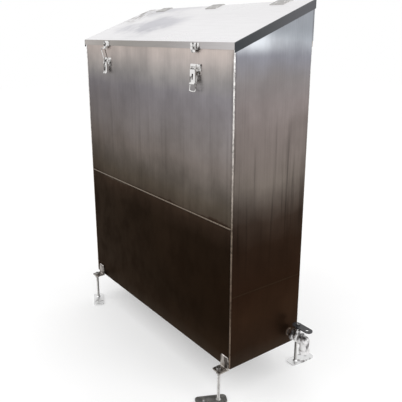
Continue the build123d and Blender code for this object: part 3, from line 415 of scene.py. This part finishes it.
def lid_sheet(settings):
    """Near-white brushed lid with painted reflection patches, painted reflection streaks by the left edge,
    and folded lips darkened as painted shade.
    """
    walls = wall_box()
    material, tree, shader = new_finish("lid_brushed_sheet", 1.0, 0.33)
    source, axis = coordinates(tree)
    grain = noise(tree, source, (6.0, 700.0, 700.0), detail=4.0, roughness=0.7)
    cloud = noise(tree, source, (2.1, 3.2, 3.2), detail=3.0, offset=(0.4, 2.7, 1.1))
    # Painted reflection: cloudy patches, and a larger patch towards the lid's front left, mixed toward the
    # reflection colour.
    top = mixed(tree, span(tree, cloud, 0.56, 0.72, 0.0, 0.45), settings.lid_colour,
                settings.lid_reflection_colour)
    middle = math(tree, "MULTIPLY", near(tree, axis["X"], walls["left"] + 0.33, 0.34),
                  near(tree, axis["Y"], walls["front"] + 0.15, 0.20))
    broken = span(tree, noise(tree, source, (7.0, 7.0, 7.0), detail=4.0, offset=(1.3, 0.2, 0.9)), 0.34, 0.66)
    reflection_patch = span(tree, math(tree, "MULTIPLY", middle, math(tree, "ADD", broken, 0.35)), 0.05, 0.9, 0.0, 0.85)
    top = mixed(tree, reflection_patch, top, settings.lid_reflection_colour)
    # Painted reflection: dark streaks along the lid's left edge, in the scorch colour.
    streak_noise = noise(tree, source, (60.0, 26.0, 26.0), detail=5.0, roughness=0.75, offset=(3.0, 1.0, 0.0))
    reflection_streak_zone = math(tree, "MULTIPLY",
                      span(tree, axis["X"], walls["left"] + 0.05, walls["left"] + 0.17, 1.0, 0.0),
                      span(tree, axis["Y"], walls["front"] + 0.16, walls["rear"] - 0.10))
    reflection_streak = math(tree, "MULTIPLY", reflection_streak_zone, span(tree, streak_noise, 0.44, 0.62))
    top = mixed(tree, math(tree, "MULTIPLY", reflection_streak, 0.8), top, settings.scorch_and_reflection_colour)
    # Painted shade: the folded lips are darker than the top of the same sheet.
    front_lip_shade = height_colour(tree, axis["X"], walls["left"], walls["right"], (
        (walls["left"], (0.41, 0.38, 0.36)), (-0.25, (0.29, 0.27, 0.25)), (0.10, (0.33, 0.31, 0.30)),
        (walls["right"], (0.52, 0.50, 0.50))))
    side_lip_shade = height_colour(tree, axis["Y"], walls["front"], walls["rear"], (
        (walls["front"], (0.042, 0.046, 0.050)), (-0.02, (0.070, 0.072, 0.076)),
        (walls["rear"], (0.110, 0.110, 0.118))))
    on_front = span(tree, axis["Y"], walls["front"] - LIP_START, walls["front"] - LIP_FULL)
    beside_left = span(tree, axis["X"], walls["left"] - LIP_START, walls["left"] - LIP_FULL)
    beside_right = span(tree, axis["X"], walls["right"] + LIP_START, walls["right"] + LIP_FULL)
    colour = mixed(tree, on_front, top, front_lip_shade)
    colour = mixed(tree, math(tree, "MAXIMUM", beside_left, beside_right), colour, side_lip_shade)
    colour = dimmed(tree, colour, span(tree, grain, 0.3, 0.7, 0.93, 1.06))
    tree.links.new(colour, shader.inputs["Base Color"])
    joined(tree, span(tree, cloud, 0.3, 0.7, 0.27, 0.42), shader.inputs["Roughness"])
    shader.inputs["Anisotropic"].default_value = 0.3
    raised(tree, shader, grain, settings.grain_depth, 0.0003)
    return material


class CABINET_OT_finish_walls(bpy.types.Operator):
    """Gives the wall, gable, rim and pan sheets their brushed finish"""

    bl_idname = "cabinet.finish_walls"
    bl_label = "Finish Walls"

    def execute(self, context):
        settings = context.scene.cabinet_sheet
        walls = wall_box()
        front_seam = place("front_upper_panel")[0][2]
        side_seam = place("right_side_upper_panel")[0][2]
        front_marks = (("Z", front_seam, 0.012, 0.85), ("X", walls["right"], 0.020, 0.7),
                       ("X", walls["left"], 0.016, 0.6))
        # The gains given to each wall below are painted light and shade, so the walls are lit and shaded
        # copies of one brushed sheet.
        front = brushed_wall("front_brushed_sheet", FRONT_REFLECTION_STOPS, "X", (0.74, 1.20), front_marks, settings,
                             0.3 * settings.streak_strength)
        side_marks = (("Z", side_seam, 0.010, 0.5),
                      ("Y", walls["front"], 0.012, 0.6), ("Y", walls["rear"], 0.006, 0.5))
        right = brushed_wall("right_brushed_sheet", SIDE_REFLECTION_STOPS, "Y", (0.90, 1.08), side_marks, settings,
                             settings.streak_strength, walls["gable"])
        left = brushed_wall("left_brushed_sheet", SIDE_REFLECTION_STOPS, "Y", (0.96, 0.96), side_marks, settings,
                            settings.streak_strength, walls["gable"])
        rear_marks = (("Z", front_seam, 0.012, 0.8), ("X", walls["right"], 0.016, 0.6),
                      ("X", walls["left"], 0.016, 0.6))
        rear = brushed_wall("rear_brushed_sheet", FRONT_REFLECTION_STOPS, "X", (0.98, 0.92), rear_marks, settings,
                            0.6 * settings.streak_strength)
        for node in ("front_lower_panel", "front_upper_panel", "bottom_pan"):
            dress(node, front)
        for node in ("right_side_lower_panel", "right_side_upper_panel", "right_gable"):
            dress(node, right)
        for node in ("left_side_lower_panel", "left_side_upper_panel", "left_gable"):
            dress(node, left)
        for node in ("rear_lower_panel", "rear_upper_panel", "rear_head_panel", "rim_frame"):
            dress(node, rear)
        return {"FINISHED"}


class CABINET_OT_finish_lid(bpy.types.Operator):
    """Gives the lid its bright brushed finish and the gasket its rubber"""

    bl_idname = "cabinet.finish_lid"
    bl_label = "Finish Lid"

    def execute(self, context):
        dress("lid_panel", lid_sheet(context.scene.cabinet_sheet))
        rubber, tree, shader = new_finish("gasket_rubber", 0.0, 0.78)
        source, _ = coordinates(tree)
        grit = noise(tree, source, (900.0, 900.0, 900.0), detail=4.0)
        bloom = noise(tree, source, (24.0, 24.0, 24.0), detail=3.0)
        tree.links.new(mixed(tree, span(tree, bloom, 0.4, 0.7), (0.020, 0.020, 0.021), (0.052, 0.051, 0.050)),
                       shader.inputs["Base Color"])
        raised(tree, shader, grit, 0.35, 0.0004)
        dress("lid_gasket", rubber)
        return {"FINISHED"}


# ------------------------------------------------------- small metal finishes
def bare_metal(name, colour, roughness, wear=0.12, grain=(240.0, 240.0, 240.0), depth=0.15, metallic=1.0,
               stops=None):
    """Bare or plated steel with clouding, fine scratches and handling marks."""
    material, tree, shader = new_finish(name, metallic, roughness)
    source, axis = coordinates(tree)
    fine = noise(tree, source, grain, detail=5.0, roughness=0.7)
    cloud = noise(tree, source, (38.0, 38.0, 38.0), detail=3.0, offset=(2.0, 5.0, 1.0))
    shade = math(tree, "MULTIPLY", span(tree, cloud, 0.3, 0.7, 1.0 - wear, 1.0 + wear),
                 span(tree, fine, 0.3, 0.7, 1.0 - wear * 0.7, 1.0 + wear * 0.4))
    base = height_colour(tree, axis["Z"], stops[0][0], stops[-1][0], stops) if stops else colour
    tree.links.new(dimmed(tree, base, shade), shader.inputs["Base Color"])
    joined(tree, span(tree, fine, 0.25, 0.75, roughness * 0.75, roughness * 1.3), shader.inputs["Roughness"])
    raised(tree, shader, fine, depth, 0.0003)
    return material


def mirrored_metal(name, light, painted_reflection_colour, roughness, patch, share=(0.40, 0.60), metallic=1.0):
    """Polished steel with dark, broken reflections painted into its colour in patches, and fine scratches.

    patch is the size of a painted reflection patch, and share the noise levels where the painted dark turns
    to light."""
    material, tree, shader = new_finish(name, metallic, roughness)
    source, _ = coordinates(tree)
    scale = 1.0 / patch
    painted_reflection_noise = noise(tree, source, (scale, scale, scale * 0.6), detail=2.0, roughness=0.5,
                    offset=(3.0, 1.0, 2.0))
    fine = noise(tree, source, (420.0, 420.0, 90.0), detail=5.0, roughness=0.7)
    colour = mixed(tree, span(tree, painted_reflection_noise, share[0], share[1]), painted_reflection_colour, light)
    tree.links.new(dimmed(tree, colour, span(tree, fine, 0.3, 0.7, 0.86, 1.05)), shader.inputs["Base Color"])
    joined(tree, span(tree, fine, 0.25, 0.75, roughness * 0.7, roughness * 1.4), shader.inputs["Roughness"])
    raised(tree, shader, fine, 0.15, 0.0003)
    return material


class CABINET_OT_finish_hinges(bpy.types.Operator):
    """Gives the hinge leaves, pins and all rivets their finish"""

    bl_idname = "cabinet.finish_hinges"
    bl_label = "Finish Hinges and Rivets"

    def execute(self, context):
        leaf = bare_metal("hinge_leaf_steel", (0.44, 0.43, 0.42), 0.38, wear=0.16, grain=(60.0, 700.0, 700.0))
        for node in HINGE_NODES:
            dress(node, leaf)
        rivet = bare_metal("rivet_steel", (0.62, 0.61, 0.60), 0.28, wear=0.12)
        for node in ("hinge_lid_rivets", "hinge_wall_rivets", "keeper_rivets", "latch_rivets"):
            dress(node, rivet)
        return {"FINISHED"}


class CABINET_OT_finish_latches(bpy.types.Operator):
    """Gives both draw latches their polished finish"""

    bl_idname = "cabinet.finish_latches"
    bl_label = "Finish Latches"

    def execute(self, context):
        colour = tuple(context.scene.cabinet_fittings.latch_colour)
        # The dark colours given here are painted reflections.
        polished = mirrored_metal("latch_polished_steel", colour, (0.06, 0.05, 0.045), 0.2, 0.016,
                                  (0.36, 0.50))
        wire = mirrored_metal("bail_wire_steel", colour, (0.10, 0.085, 0.075), 0.24, 0.020, (0.36, 0.52))
        for side in ("left", "right"):
            for part in ("base", "lever", "keeper"):
                dress(f"{side}_latch_{part}", polished)
            dress(f"{side}_latch_bail", wire)
        dress("latch_pins", wire)
        return {"FINISHED"}


class CABINET_OT_finish_feet(bpy.types.Operator):
    """Gives the brackets, nuts and foot plates their finish"""

    bl_idname = "cabinet.finish_feet"
    bl_label = "Finish Brackets and Feet"

    def execute(self, context):
        fittings = context.scene.cabinet_fittings
        # The dark colours given to the brackets and the bright feet are painted reflections.
        bracket = mirrored_metal("bracket_bar_steel", (0.42, 0.39, 0.36), (0.10, 0.085, 0.075), 0.42, 0.020)
        nut = bare_metal("nut_plated_steel", (0.34, 0.33, 0.32), 0.34, wear=0.18)
        dull = bare_metal("dull_foot_steel", tuple(fittings.front_right_foot_colour), 0.5, wear=0.2, depth=0.3)
        bright_foot = mirrored_metal("bright_foot_steel", tuple(fittings.other_feet_colour),
                               (0.20, 0.19, 0.19), 0.42, 0.030, (0.26, 0.44))
        for corner in CORNERS:
            dress(f"{corner}_bracket", bracket)
            dress(f"{corner}_nuts", nut)
            dress(f"{corner}_foot", dull if corner == "front_right" else bright_foot)
        return {"FINISHED"}


class CABINET_OT_finish_drain(bpy.types.Operator):
    """Gives the drain valve its cast, machined, dark handle and plastic finishes"""

    bl_idname = "cabinet.finish_drain"
    bl_label = "Finish Drain Valve"

    def execute(self, context):
        fittings = context.scene.cabinet_fittings
        colour = tuple(fittings.valve_colour)
        # The dark colours given here are painted reflections.
        cast = mirrored_metal("valve_cast_steel", colour, (0.09, 0.085, 0.085), 0.40, 0.024, (0.36, 0.54))
        machined = mirrored_metal("valve_machined_steel", colour, (0.07, 0.066, 0.066), 0.26, 0.018,
                                  (0.38, 0.54))
        plastic = bare_metal("seat_plastic", (0.82, 0.81, 0.78), 0.5, wear=0.04, metallic=0.0)
        handle = bare_metal("dark_handle_finish", tuple(fittings.handle_colour), 0.36, wear=0.22, metallic=0.0,
                            grain=(700.0, 700.0, 700.0), depth=0.4)
        for node in ("valve_body", "valve_elbow"):
            dress(node, cast)
        for node in ("drain_nipple", "valve_end_nut", "valve_packing_nut", "valve_handle_nut", "valve_stem",
                     "valve_ball"):
            dress(node, machined)
        dress("valve_seats", plastic)
        dress("valve_handle", handle)
        return {"FINISHED"}


# --------------------------------------------------- geometry node tools
def new_shape_tree(name, inputs):
    """A Geometry Nodes tree with a Geometry input and output and named inputs."""
    tree = bpy.data.node_groups.new(name, "GeometryNodeTree")
    tree.interface.new_socket("Geometry", in_out="INPUT", socket_type="NodeSocketGeometry")
    tree.interface.new_socket("Geometry", in_out="OUTPUT", socket_type="NodeSocketGeometry")
    for label, kind, default in inputs:
        socket = tree.interface.new_socket(label, in_out="INPUT", socket_type=kind)
        if default is not None:
            socket.default_value = default
    return tree, tree.nodes.new("NodeGroupInput"), tree.nodes.new("NodeGroupOutput")


def step_node(tree, kind, **inputs):
    """One node, with its inputs linked or set by name."""
    node = tree.nodes.new(kind)
    for label, value in inputs.items():
        joined(tree, value, node.inputs[label.replace("_", " ")])
    return node


def grown(name, path, tree, values, body, replaced=()):
    """Runs a tree on a path mesh, and keeps the result as a plain piece on a body."""
    maker = bpy.data.objects.new(name + "_path", path)
    bpy.context.scene.collection.objects.link(maker)
    modifier = maker.modifiers.new("Shape", "NODES")
    modifier.node_group = tree
    for item in tree.interface.items_tree:
        if item.item_type == "SOCKET" and item.in_out == "INPUT" and item.name in values:
            modifier[item.identifier] = values[item.name]
    graph = bpy.context.evaluated_depsgraph_get()
    mesh = bpy.data.meshes.new_from_object(maker.evaluated_get(graph), depsgraph=graph)
    if not mesh.polygons:
        raise RuntimeError(f"{name} has no faces")
    maker.modifiers.remove(modifier)
    bpy.data.objects.remove(maker)
    mesh.name = name
    piece = bpy.data.objects.new(name, mesh)
    bpy.context.scene.collection.objects.link(piece)
    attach(piece, body)
    if replaced:
        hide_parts(*replaced)
    return piece


def path_mesh(name, runs):
    """Runs of points as loose edges, each run with the direction that its bead stands out in."""
    points, edges, outward = [], [], []
    for run, directions in runs:
        first = len(points)
        points.extend(run)
        outward.extend(directions)
        edges.extend((first + index, first + index + 1) for index in range(len(run) - 1))
    mesh = bpy.data.meshes.new(name)
    mesh.from_pydata(points, edges, [])
    attribute = mesh.attributes.new("outward", "FLOAT_VECTOR", "POINT")
    for index, direction in enumerate(outward):
        attribute.data[index].vector = direction
    return mesh


# ----------------------------------------------------------- weld beads
def weld_bead_tree():
    """A rippled bead that follows each edge of its path."""
    tree, given, result = new_shape_tree("Weld Bead", (
        ("Half Width", "NodeSocketFloat", 0.003), ("Rise", "NodeSocketFloat", 0.0012),
        ("Ripple Pitch", "NodeSocketFloat", 0.004), ("Ripple Depth", "NodeSocketFloat", 0.15),
        ("Swell", "NodeSocketFloat", 0.3), ("Step", "NodeSocketFloat", 0.0012),
        ("Seed", "NodeSocketInt", 7), ("Material", "NodeSocketMaterial", None)))
    value = given.outputs
    curve = step_node(tree, "GeometryNodeMeshToCurve", Mesh=value["Geometry"])
    resampled = tree.nodes.new("GeometryNodeResampleCurve")
    resampled.mode = "LENGTH"
    joined(tree, curve.outputs[0], resampled.inputs["Curve"])
    joined(tree, value["Step"], resampled.inputs["Length"])
    outward = tree.nodes.new("GeometryNodeInputNamedAttribute")
    outward.data_type = "FLOAT_VECTOR"
    outward.inputs["Name"].default_value = "outward"
    turned = tree.nodes.new("GeometryNodeSetCurveNormal")
    turned.mode = "FREE"
    joined(tree, resampled.outputs[0], turned.inputs["Curve"])
    joined(tree, outward.outputs["Attribute"], turned.inputs["Normal"])
    along = tree.nodes.new("GeometryNodeSplineParameter").outputs["Length"]
    unevenness = tree.nodes.new("ShaderNodeTexNoise")
    unevenness.noise_dimensions = "4D"
    unevenness.inputs["Scale"].default_value = 90.0
    unevenness.inputs["Detail"].default_value = 3.0
    joined(tree, tree.nodes.new("GeometryNodeInputPosition").outputs[0], unevenness.inputs["Vector"])
    joined(tree, value["Seed"], unevenness.inputs["W"])
    sway = math(tree, "SUBTRACT", unevenness.outputs["Fac"], 0.5)
    jitter = math(tree, "MULTIPLY", sway, value["Ripple Pitch"])
    phase = math(tree, "FRACT", math(tree, "DIVIDE", math(tree, "ADD", along, jitter), value["Ripple Pitch"]))
    crest = math(tree, "POWER", phase, 1.8)
    ripple = math(tree, "MULTIPLY", crest, value["Ripple Depth"])
    wandering = math(tree, "MULTIPLY", sway, value["Swell"])
    full = math(tree, "SUBTRACT", 1.0, ripple)
    scale = math(tree, "MINIMUM", math(tree, "ADD", full, wandering), 1.0)
    profile = tree.nodes.new("GeometryNodeCurvePrimitiveCircle")
    profile.inputs["Resolution"].default_value = 10
    profile.inputs["Radius"].default_value = 1.0
    shape = tree.nodes.new("ShaderNodeCombineXYZ")
    joined(tree, value["Rise"], shape.inputs["X"])
    joined(tree, value["Half Width"], shape.inputs["Y"])
    shape.inputs["Z"].default_value = 1.0
    section = tree.nodes.new("GeometryNodeTransform")
    joined(tree, profile.outputs["Curve"], section.inputs["Geometry"])
    joined(tree, shape.outputs[0], section.inputs["Scale"])
    swept = tree.nodes.new("GeometryNodeCurveToMesh")
    joined(tree, turned.outputs[0], swept.inputs["Curve"])
    joined(tree, section.outputs[0], swept.inputs["Profile Curve"])
    joined(tree, scale, swept.inputs["Scale"])
    swept.inputs["Fill Caps"].default_value = True
    smooth = step_node(tree, "GeometryNodeSetShadeSmooth", Geometry=swept.outputs[0])
    plain = step_node(tree, "GeometryNodeRealizeInstances", Geometry=smooth.outputs[0])
    coated = step_node(tree, "GeometryNodeSetMaterial", Geometry=plain.outputs[0], Material=value["Material"])
    joined(tree, coated.outputs[0], result.inputs["Geometry"])
    return tree


# Colour by height of the wall beads: a painted reflection that darkens them toward the foot, as on the walls.
WALL_BEAD_REFLECTION_STOPS = (
    (0.13, (0.17, 0.13, 0.10)), (0.42, (0.095, 0.066, 0.048)), (0.70, (0.17, 0.135, 0.105)),
    (0.90, (0.40, 0.36, 0.33)), (1.08, (0.62, 0.59, 0.57)), (1.30, (0.86, 0.84, 0.83)))
BRACKET_BEAD_STOPS = ((0.10, (0.62, 0.57, 0.54)), (0.20, (0.66, 0.62, 0.60)))


def bead_metal(name, stops):
    """Weld metal, coloured by height from its stops, with oxide in the ripples; on the wall beads the height
    colour is a painted reflection.
    """
    material, tree, shader = new_finish(name, 1.0, 0.34)
    source, axis = coordinates(tree)
    colour = height_colour(tree, axis["Z"], stops[0][0], stops[-1][0], stops)
    oxide = noise(tree, source, (120.0, 120.0, 60.0), detail=5.0, roughness=0.7)
    fine = noise(tree, source, (900.0, 900.0, 900.0), detail=3.0)
    colour = dimmed(tree, colour, span(tree, oxide, 0.32, 0.62, 0.45, 1.25))
    tree.links.new(colour, shader.inputs["Base Color"])
    joined(tree, span(tree, oxide, 0.3, 0.7, 0.24, 0.5), shader.inputs["Roughness"])
    raised(tree, shader, fine, 0.4, 0.0004)
    return material


class CABINET_OT_lay_welds(bpy.types.Operator):
    """Lays rippled weld beads on the corners, seams, pipe and brackets"""

    bl_idname = "cabinet.lay_welds"
    bl_label = "Lay Weld Beads"

    def execute(self, context):
        settings = context.scene.cabinet_welds
        walls = wall_box()
        metal = bead_metal("wall_bead_metal", WALL_BEAD_REFLECTION_STOPS)
        bracket_metal = bead_metal("bracket_bead_metal", BRACKET_BEAD_STOPS)
        tree = weld_bead_tree()
        shared = {"Ripple Pitch": settings.ripple_pitch, "Ripple Depth": settings.ripple_depth,
                  "Swell": settings.swell, "Step": settings.step, "Seed": settings.seed, "Material": metal}

        corner_low, corner_high = place("corner_welds")
        front_top = place("front_upper_panel")[1][2]
        corner_runs = []
        for x_place, x_sign in ((walls["left"], -1.0), (walls["right"], 1.0)):
            for y_place, y_sign, top in ((walls["front"], -1.0, front_top),
                                         (walls["rear"], 1.0, place("rear_upper_panel")[1][2])):
                at = (x_place - x_sign * CORNER_INSET, y_place - y_sign * CORNER_INSET)
                ends = (corner_low[2] + CORNER_END_GAP, min(top, corner_high[2]) - CORNER_END_GAP)
                direction = (x_sign * DIAGONAL, y_sign * DIAGONAL, 0.0)
                corner_runs.append(([(*at, ends[0]), (*at, ends[1])], [direction, direction]))
        grown("corner_weld_beads", path_mesh("corner_weld_lines", corner_runs), tree,
              {**shared, **CORNER_BEAD}, "cabinet", ("corner_welds",))

        front_seam = place("front_upper_panel")[0][2]
        side_seam = place("right_side_upper_panel")[0][2]
        seam_runs = []
        for y_place, y_sign in ((walls["front"], -1.0), (walls["rear"], 1.0)):
            ends = (walls["left"] + SEAM_END_GAP, walls["right"] - SEAM_END_GAP)
            seam_runs.append(([(ends[0], y_place, front_seam), (ends[1], y_place, front_seam)],
                              [(0.0, y_sign, 0.0)] * 2))
        seam_starts = ((side_seam, SEAM_END_GAP), (walls["gable"], GABLE_SEAM_START))
        for x_place, x_sign in ((walls["left"], -1.0), (walls["right"], 1.0)):
            for level, start in seam_starts:
                seam_runs.append(([(x_place, walls["front"] + start, level),
                                   (x_place, walls["rear"] - SEAM_END_GAP, level)],
                                  [(x_sign, 0.0, 0.0)] * 2))
        grown("seam_weld_beads", path_mesh("seam_weld_lines", seam_runs), tree,
              {**shared, **SEAM_BEAD}, "cabinet", ("seam_welds",))

        nipple_low, nipple_high = place("drain_nipple")
        middle = ((nipple_low[1] + nipple_high[1]) / 2, (nipple_low[2] + nipple_high[2]) / 2)
        bead_radius = (nipple_high[2] - nipple_low[2]) / 2 + PIPE_BEAD_OFFSET
        ring, lean = [], []
        for index in range(PIPE_BEAD_POINTS + 1):
            turn = radians(360.0 * index / PIPE_BEAD_POINTS)
            ring.append((walls["right"] + PIPE_BEAD_OFFSET, middle[0] + bead_radius * cos(turn),
                         middle[1] + bead_radius * sin(turn)))
            lean.append((DIAGONAL, DIAGONAL * cos(turn), DIAGONAL * sin(turn)))
        grown("pipe_weld_bead", path_mesh("pipe_weld_line", [(ring, lean)]), tree,
              {**shared, **PIPE_BEAD}, "cabinet")

        bracket_runs = []
        for corner in CORNERS:
            low, high = place(f"{corner}_bracket")
            front = corner.startswith("front")
            wall_y, sign = (walls["front"], -1.0) if front else (walls["rear"], 1.0)
            bead_y = wall_y + sign * BRACKET_BEAD_OFFSET
            bracket_runs.append(([(low[0] + BRACKET_END_GAP, bead_y, high[2]),
                                  (high[0] - BRACKET_END_GAP, bead_y, high[2])],
                                 [(0.0, sign * DIAGONAL, DIAGONAL)] * 2))
        grown("bracket_weld_beads", path_mesh("bracket_weld_lines", bracket_runs), tree,
              {**shared, **BRACKET_BEAD, "Material": bracket_metal}, "cabinet")
        return {"FINISHED"}


# -------------------------------------------------------- threaded rods
def threaded_rod_tree():
    """A rod along Z with a helical thread and tapered ends."""
    tree, given, result = new_shape_tree("Threaded Rod", (
        ("Radius", "NodeSocketFloat", 0.006), ("Length", "NodeSocketFloat", 0.14),
        ("Centre", "NodeSocketVector", None), ("Thread Pitch", "NodeSocketFloat", 0.00175),
        ("Thread Depth", "NodeSocketFloat", 0.001), ("Chamfer", "NodeSocketFloat", 0.0016),
        ("Sides", "NodeSocketInt", 28), ("Rings", "NodeSocketInt", 400),
        ("Material", "NodeSocketMaterial", None)))
    value = given.outputs
    blank = tree.nodes.new("GeometryNodeMeshCylinder")
    for label, source in (("Vertices", "Sides"), ("Side Segments", "Rings"), ("Radius", "Radius"),
                          ("Depth", "Length")):
        joined(tree, value[source], blank.inputs[label])
    split = tree.nodes.new("ShaderNodeSeparateXYZ")
    joined(tree, tree.nodes.new("GeometryNodeInputPosition").outputs[0], split.inputs[0])
    turn = math(tree, "DIVIDE", math(tree, "ARCTAN2", split.outputs["Y"], split.outputs["X"]), radians(360.0))
    climb = math(tree, "DIVIDE", split.outputs["Z"], value["Thread Pitch"])
    phase = math(tree, "FRACT", math(tree, "SUBTRACT", climb, turn))
    flank = math(tree, "ABSOLUTE", math(tree, "SUBTRACT", phase, 0.5))
    cut = math(tree, "MULTIPLY", math(tree, "MULTIPLY", flank, 2.0), value["Thread Depth"])
    half = math(tree, "MULTIPLY", value["Length"], 0.5)
    to_end = math(tree, "SUBTRACT", half, math(tree, "ABSOLUTE", split.outputs["Z"]))
    taper = math(tree, "SUBTRACT", value["Chamfer"], to_end)
    cut = math(tree, "MAXIMUM", cut, math(tree, "MAXIMUM", taper, 0.0))
    share = math(tree, "SUBTRACT", 1.0, math(tree, "DIVIDE", cut, value["Radius"]))
    placed = tree.nodes.new("ShaderNodeCombineXYZ")
    joined(tree, math(tree, "MULTIPLY", split.outputs["X"], share), placed.inputs["X"])
    joined(tree, math(tree, "MULTIPLY", split.outputs["Y"], share), placed.inputs["Y"])
    joined(tree, split.outputs["Z"], placed.inputs["Z"])
    threaded = step_node(tree, "GeometryNodeSetPosition", Geometry=blank.outputs["Mesh"],
                         Position=placed.outputs[0])
    moved = step_node(tree, "GeometryNodeTransform", Geometry=threaded.outputs[0],
                      Translation=value["Centre"])
    plain = step_node(tree, "GeometryNodeRealizeInstances", Geometry=moved.outputs[0])
    coated = step_node(tree, "GeometryNodeSetMaterial", Geometry=plain.outputs[0], Material=value["Material"])
    joined(tree, coated.outputs[0], result.inputs["Geometry"])
    return tree


class CABINET_OT_cut_rods(bpy.types.Operator):
    """Cuts the four threaded levelling rods"""

    bl_idname = "cabinet.cut_rods"
    bl_label = "Cut Levelling Rods"

    def execute(self, context):
        settings = context.scene.cabinet_rods
        metal = bare_metal("threaded_rod_steel", (0.42, 0.41, 0.40), 0.32, wear=0.2,
                           grain=(90.0, 90.0, 700.0))
        tree = threaded_rod_tree()
        for corner in CORNERS:
            low, high = place(f"{corner}_rod")
            length = high[2] - low[2]
            rings = round(length / settings.thread_pitch * settings.rings_per_turn)
            values = {"Radius": (high[0] - low[0]) / 2, "Length": length,
                      "Centre": tuple((a + b) / 2 for a, b in zip(low, high)),
                      "Thread Pitch": settings.thread_pitch, "Thread Depth": settings.thread_depth,
                      "Chamfer": settings.chamfer, "Sides": settings.sides, "Rings": rings, "Material": metal}
            blank = bpy.data.meshes.new(f"{corner}_rod_blank")
            grown(f"{corner}_threaded_rod", blank, tree, values, f"{corner}_leg",
                  (f"{corner}_rod",))
        return {"FINISHED"}


# ---------------------------------------------------------------- studio
class CABINET_OT_set_studio(bpy.types.Operator):
    """Sets up the pale floor, the soft lights and the camera"""

    bl_idname = "cabinet.set_studio"
    bl_label = "Set Studio"

    def execute(self, context):
        settings = context.scene.cabinet_studio
        half = settings.floor_size / 2
        mesh = bpy.data.meshes.new("studio_floor")
        mesh.from_pydata([(-half, -half, 0.0), (half, -half, 0.0), (half, half, 0.0), (-half, half, 0.0)], [],
                         [(0, 1, 2, 3)])
        floor = bpy.data.objects.new("studio_floor", mesh)
        context.scene.collection.objects.link(floor)
        paint, tree, shader = new_finish("studio_floor_paint", 0.0, 0.9)
        source, _ = coordinates(tree)
        tone = noise(tree, source, (3.0, 3.0, 3.0), detail=2.0)
        tree.links.new(dimmed(tree, tuple(settings.floor_colour), span(tree, tone, 0.3, 0.7, 0.985, 1.0)),
                       shader.inputs["Base Color"])
        shader.inputs["Specular IOR Level"].default_value = 0.0
        shader.inputs["Emission Color"].default_value = (1.0, 1.0, 1.0, 1.0)
        shader.inputs["Emission Strength"].default_value = settings.floor_glow
        mesh.materials.append(paint)

        world = bpy.data.worlds.new("studio_room")
        world.use_nodes = True
        background = world.node_tree.nodes["Background"]
        background.inputs["Color"].default_value = (1.0, 1.0, 1.0, 1.0)
        background.inputs["Strength"].default_value = settings.room_light
        context.scene.world = world
        for (name, spot, aim, size), power in zip(SOFTBOXES, (settings.key_power, settings.side_power)):
            data = bpy.data.lights.new(name, "AREA")
            data.energy = power
            data.size = size
            lamp = bpy.data.objects.new(name, data)
            lamp.location = spot
            lamp.rotation_euler = (Vector(aim) - Vector(spot)).to_track_quat("-Z", "Y").to_euler()
            context.scene.collection.objects.link(lamp)

        data = bpy.data.cameras.new("studio_camera")
        data.lens = settings.lens
        data.sensor_width = 36.0
        data.shift_x, data.shift_y = LENS_SHIFT
        camera = bpy.data.objects.new("studio_camera", data)
        camera.location = settings.camera_place
        camera.rotation_euler = Euler((radians(90.0) - settings.camera_dip, 0.0, settings.camera_heading))
        context.scene.collection.objects.link(camera)
        context.scene.camera = camera
        context.scene.view_settings.view_transform = "Standard"
        return {"FINISHED"}


class CABINET_PT_finishes(bpy.types.Panel):
    """Lists the cabinet's settings and the steps that finish it."""

    bl_label = "Containment Cabinet"
    bl_idname = "CABINET_PT_finishes"
    bl_space_type = "VIEW_3D"
    bl_region_type = "UI"
    bl_category = "Cabinet"

    def draw(self, context):
        for group in SETTINGS:
            settings = getattr(context.scene, group)
            box = self.layout.box()
            for name in settings.bl_rna.properties.keys():
                if name not in ("rna_type", "name"):
                    box.prop(settings, name)
        for step in STEPS:
            self.layout.operator(step.bl_idname)


SETTINGS = {"cabinet_sheet": SheetSettings, "cabinet_welds": WeldSettings, "cabinet_rods": RodSettings,
            "cabinet_fittings": FittingSettings, "cabinet_studio": StudioSettings}
STEPS = (CABINET_OT_finish_walls, CABINET_OT_finish_lid, CABINET_OT_finish_hinges, CABINET_OT_finish_latches,
         CABINET_OT_finish_feet, CABINET_OT_finish_drain, CABINET_OT_lay_welds, CABINET_OT_cut_rods,
         CABINET_OT_set_studio)


def register():
    """Registers the settings, the steps and the panel."""
    for name, group in SETTINGS.items():
        bpy.utils.register_class(group)
        setattr(bpy.types.Scene, name, bpy.props.PointerProperty(type=group))
    for step in (*STEPS, CABINET_PT_finishes):
        bpy.utils.register_class(step)


def unregister():
    """Removes what register added."""
    for step in (CABINET_PT_finishes, *reversed(STEPS)):
        bpy.utils.unregister_class(step)
    for name, group in SETTINGS.items():
        delattr(bpy.types.Scene, name)
        bpy.utils.unregister_class(group)


def main():
    """Runs every step in order."""
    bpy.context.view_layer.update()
    register()
    for step in STEPS:
        area, name = step.bl_idname.split(".")
        getattr(getattr(bpy.ops, area), name)()


if __name__ == "__main__":
    main()
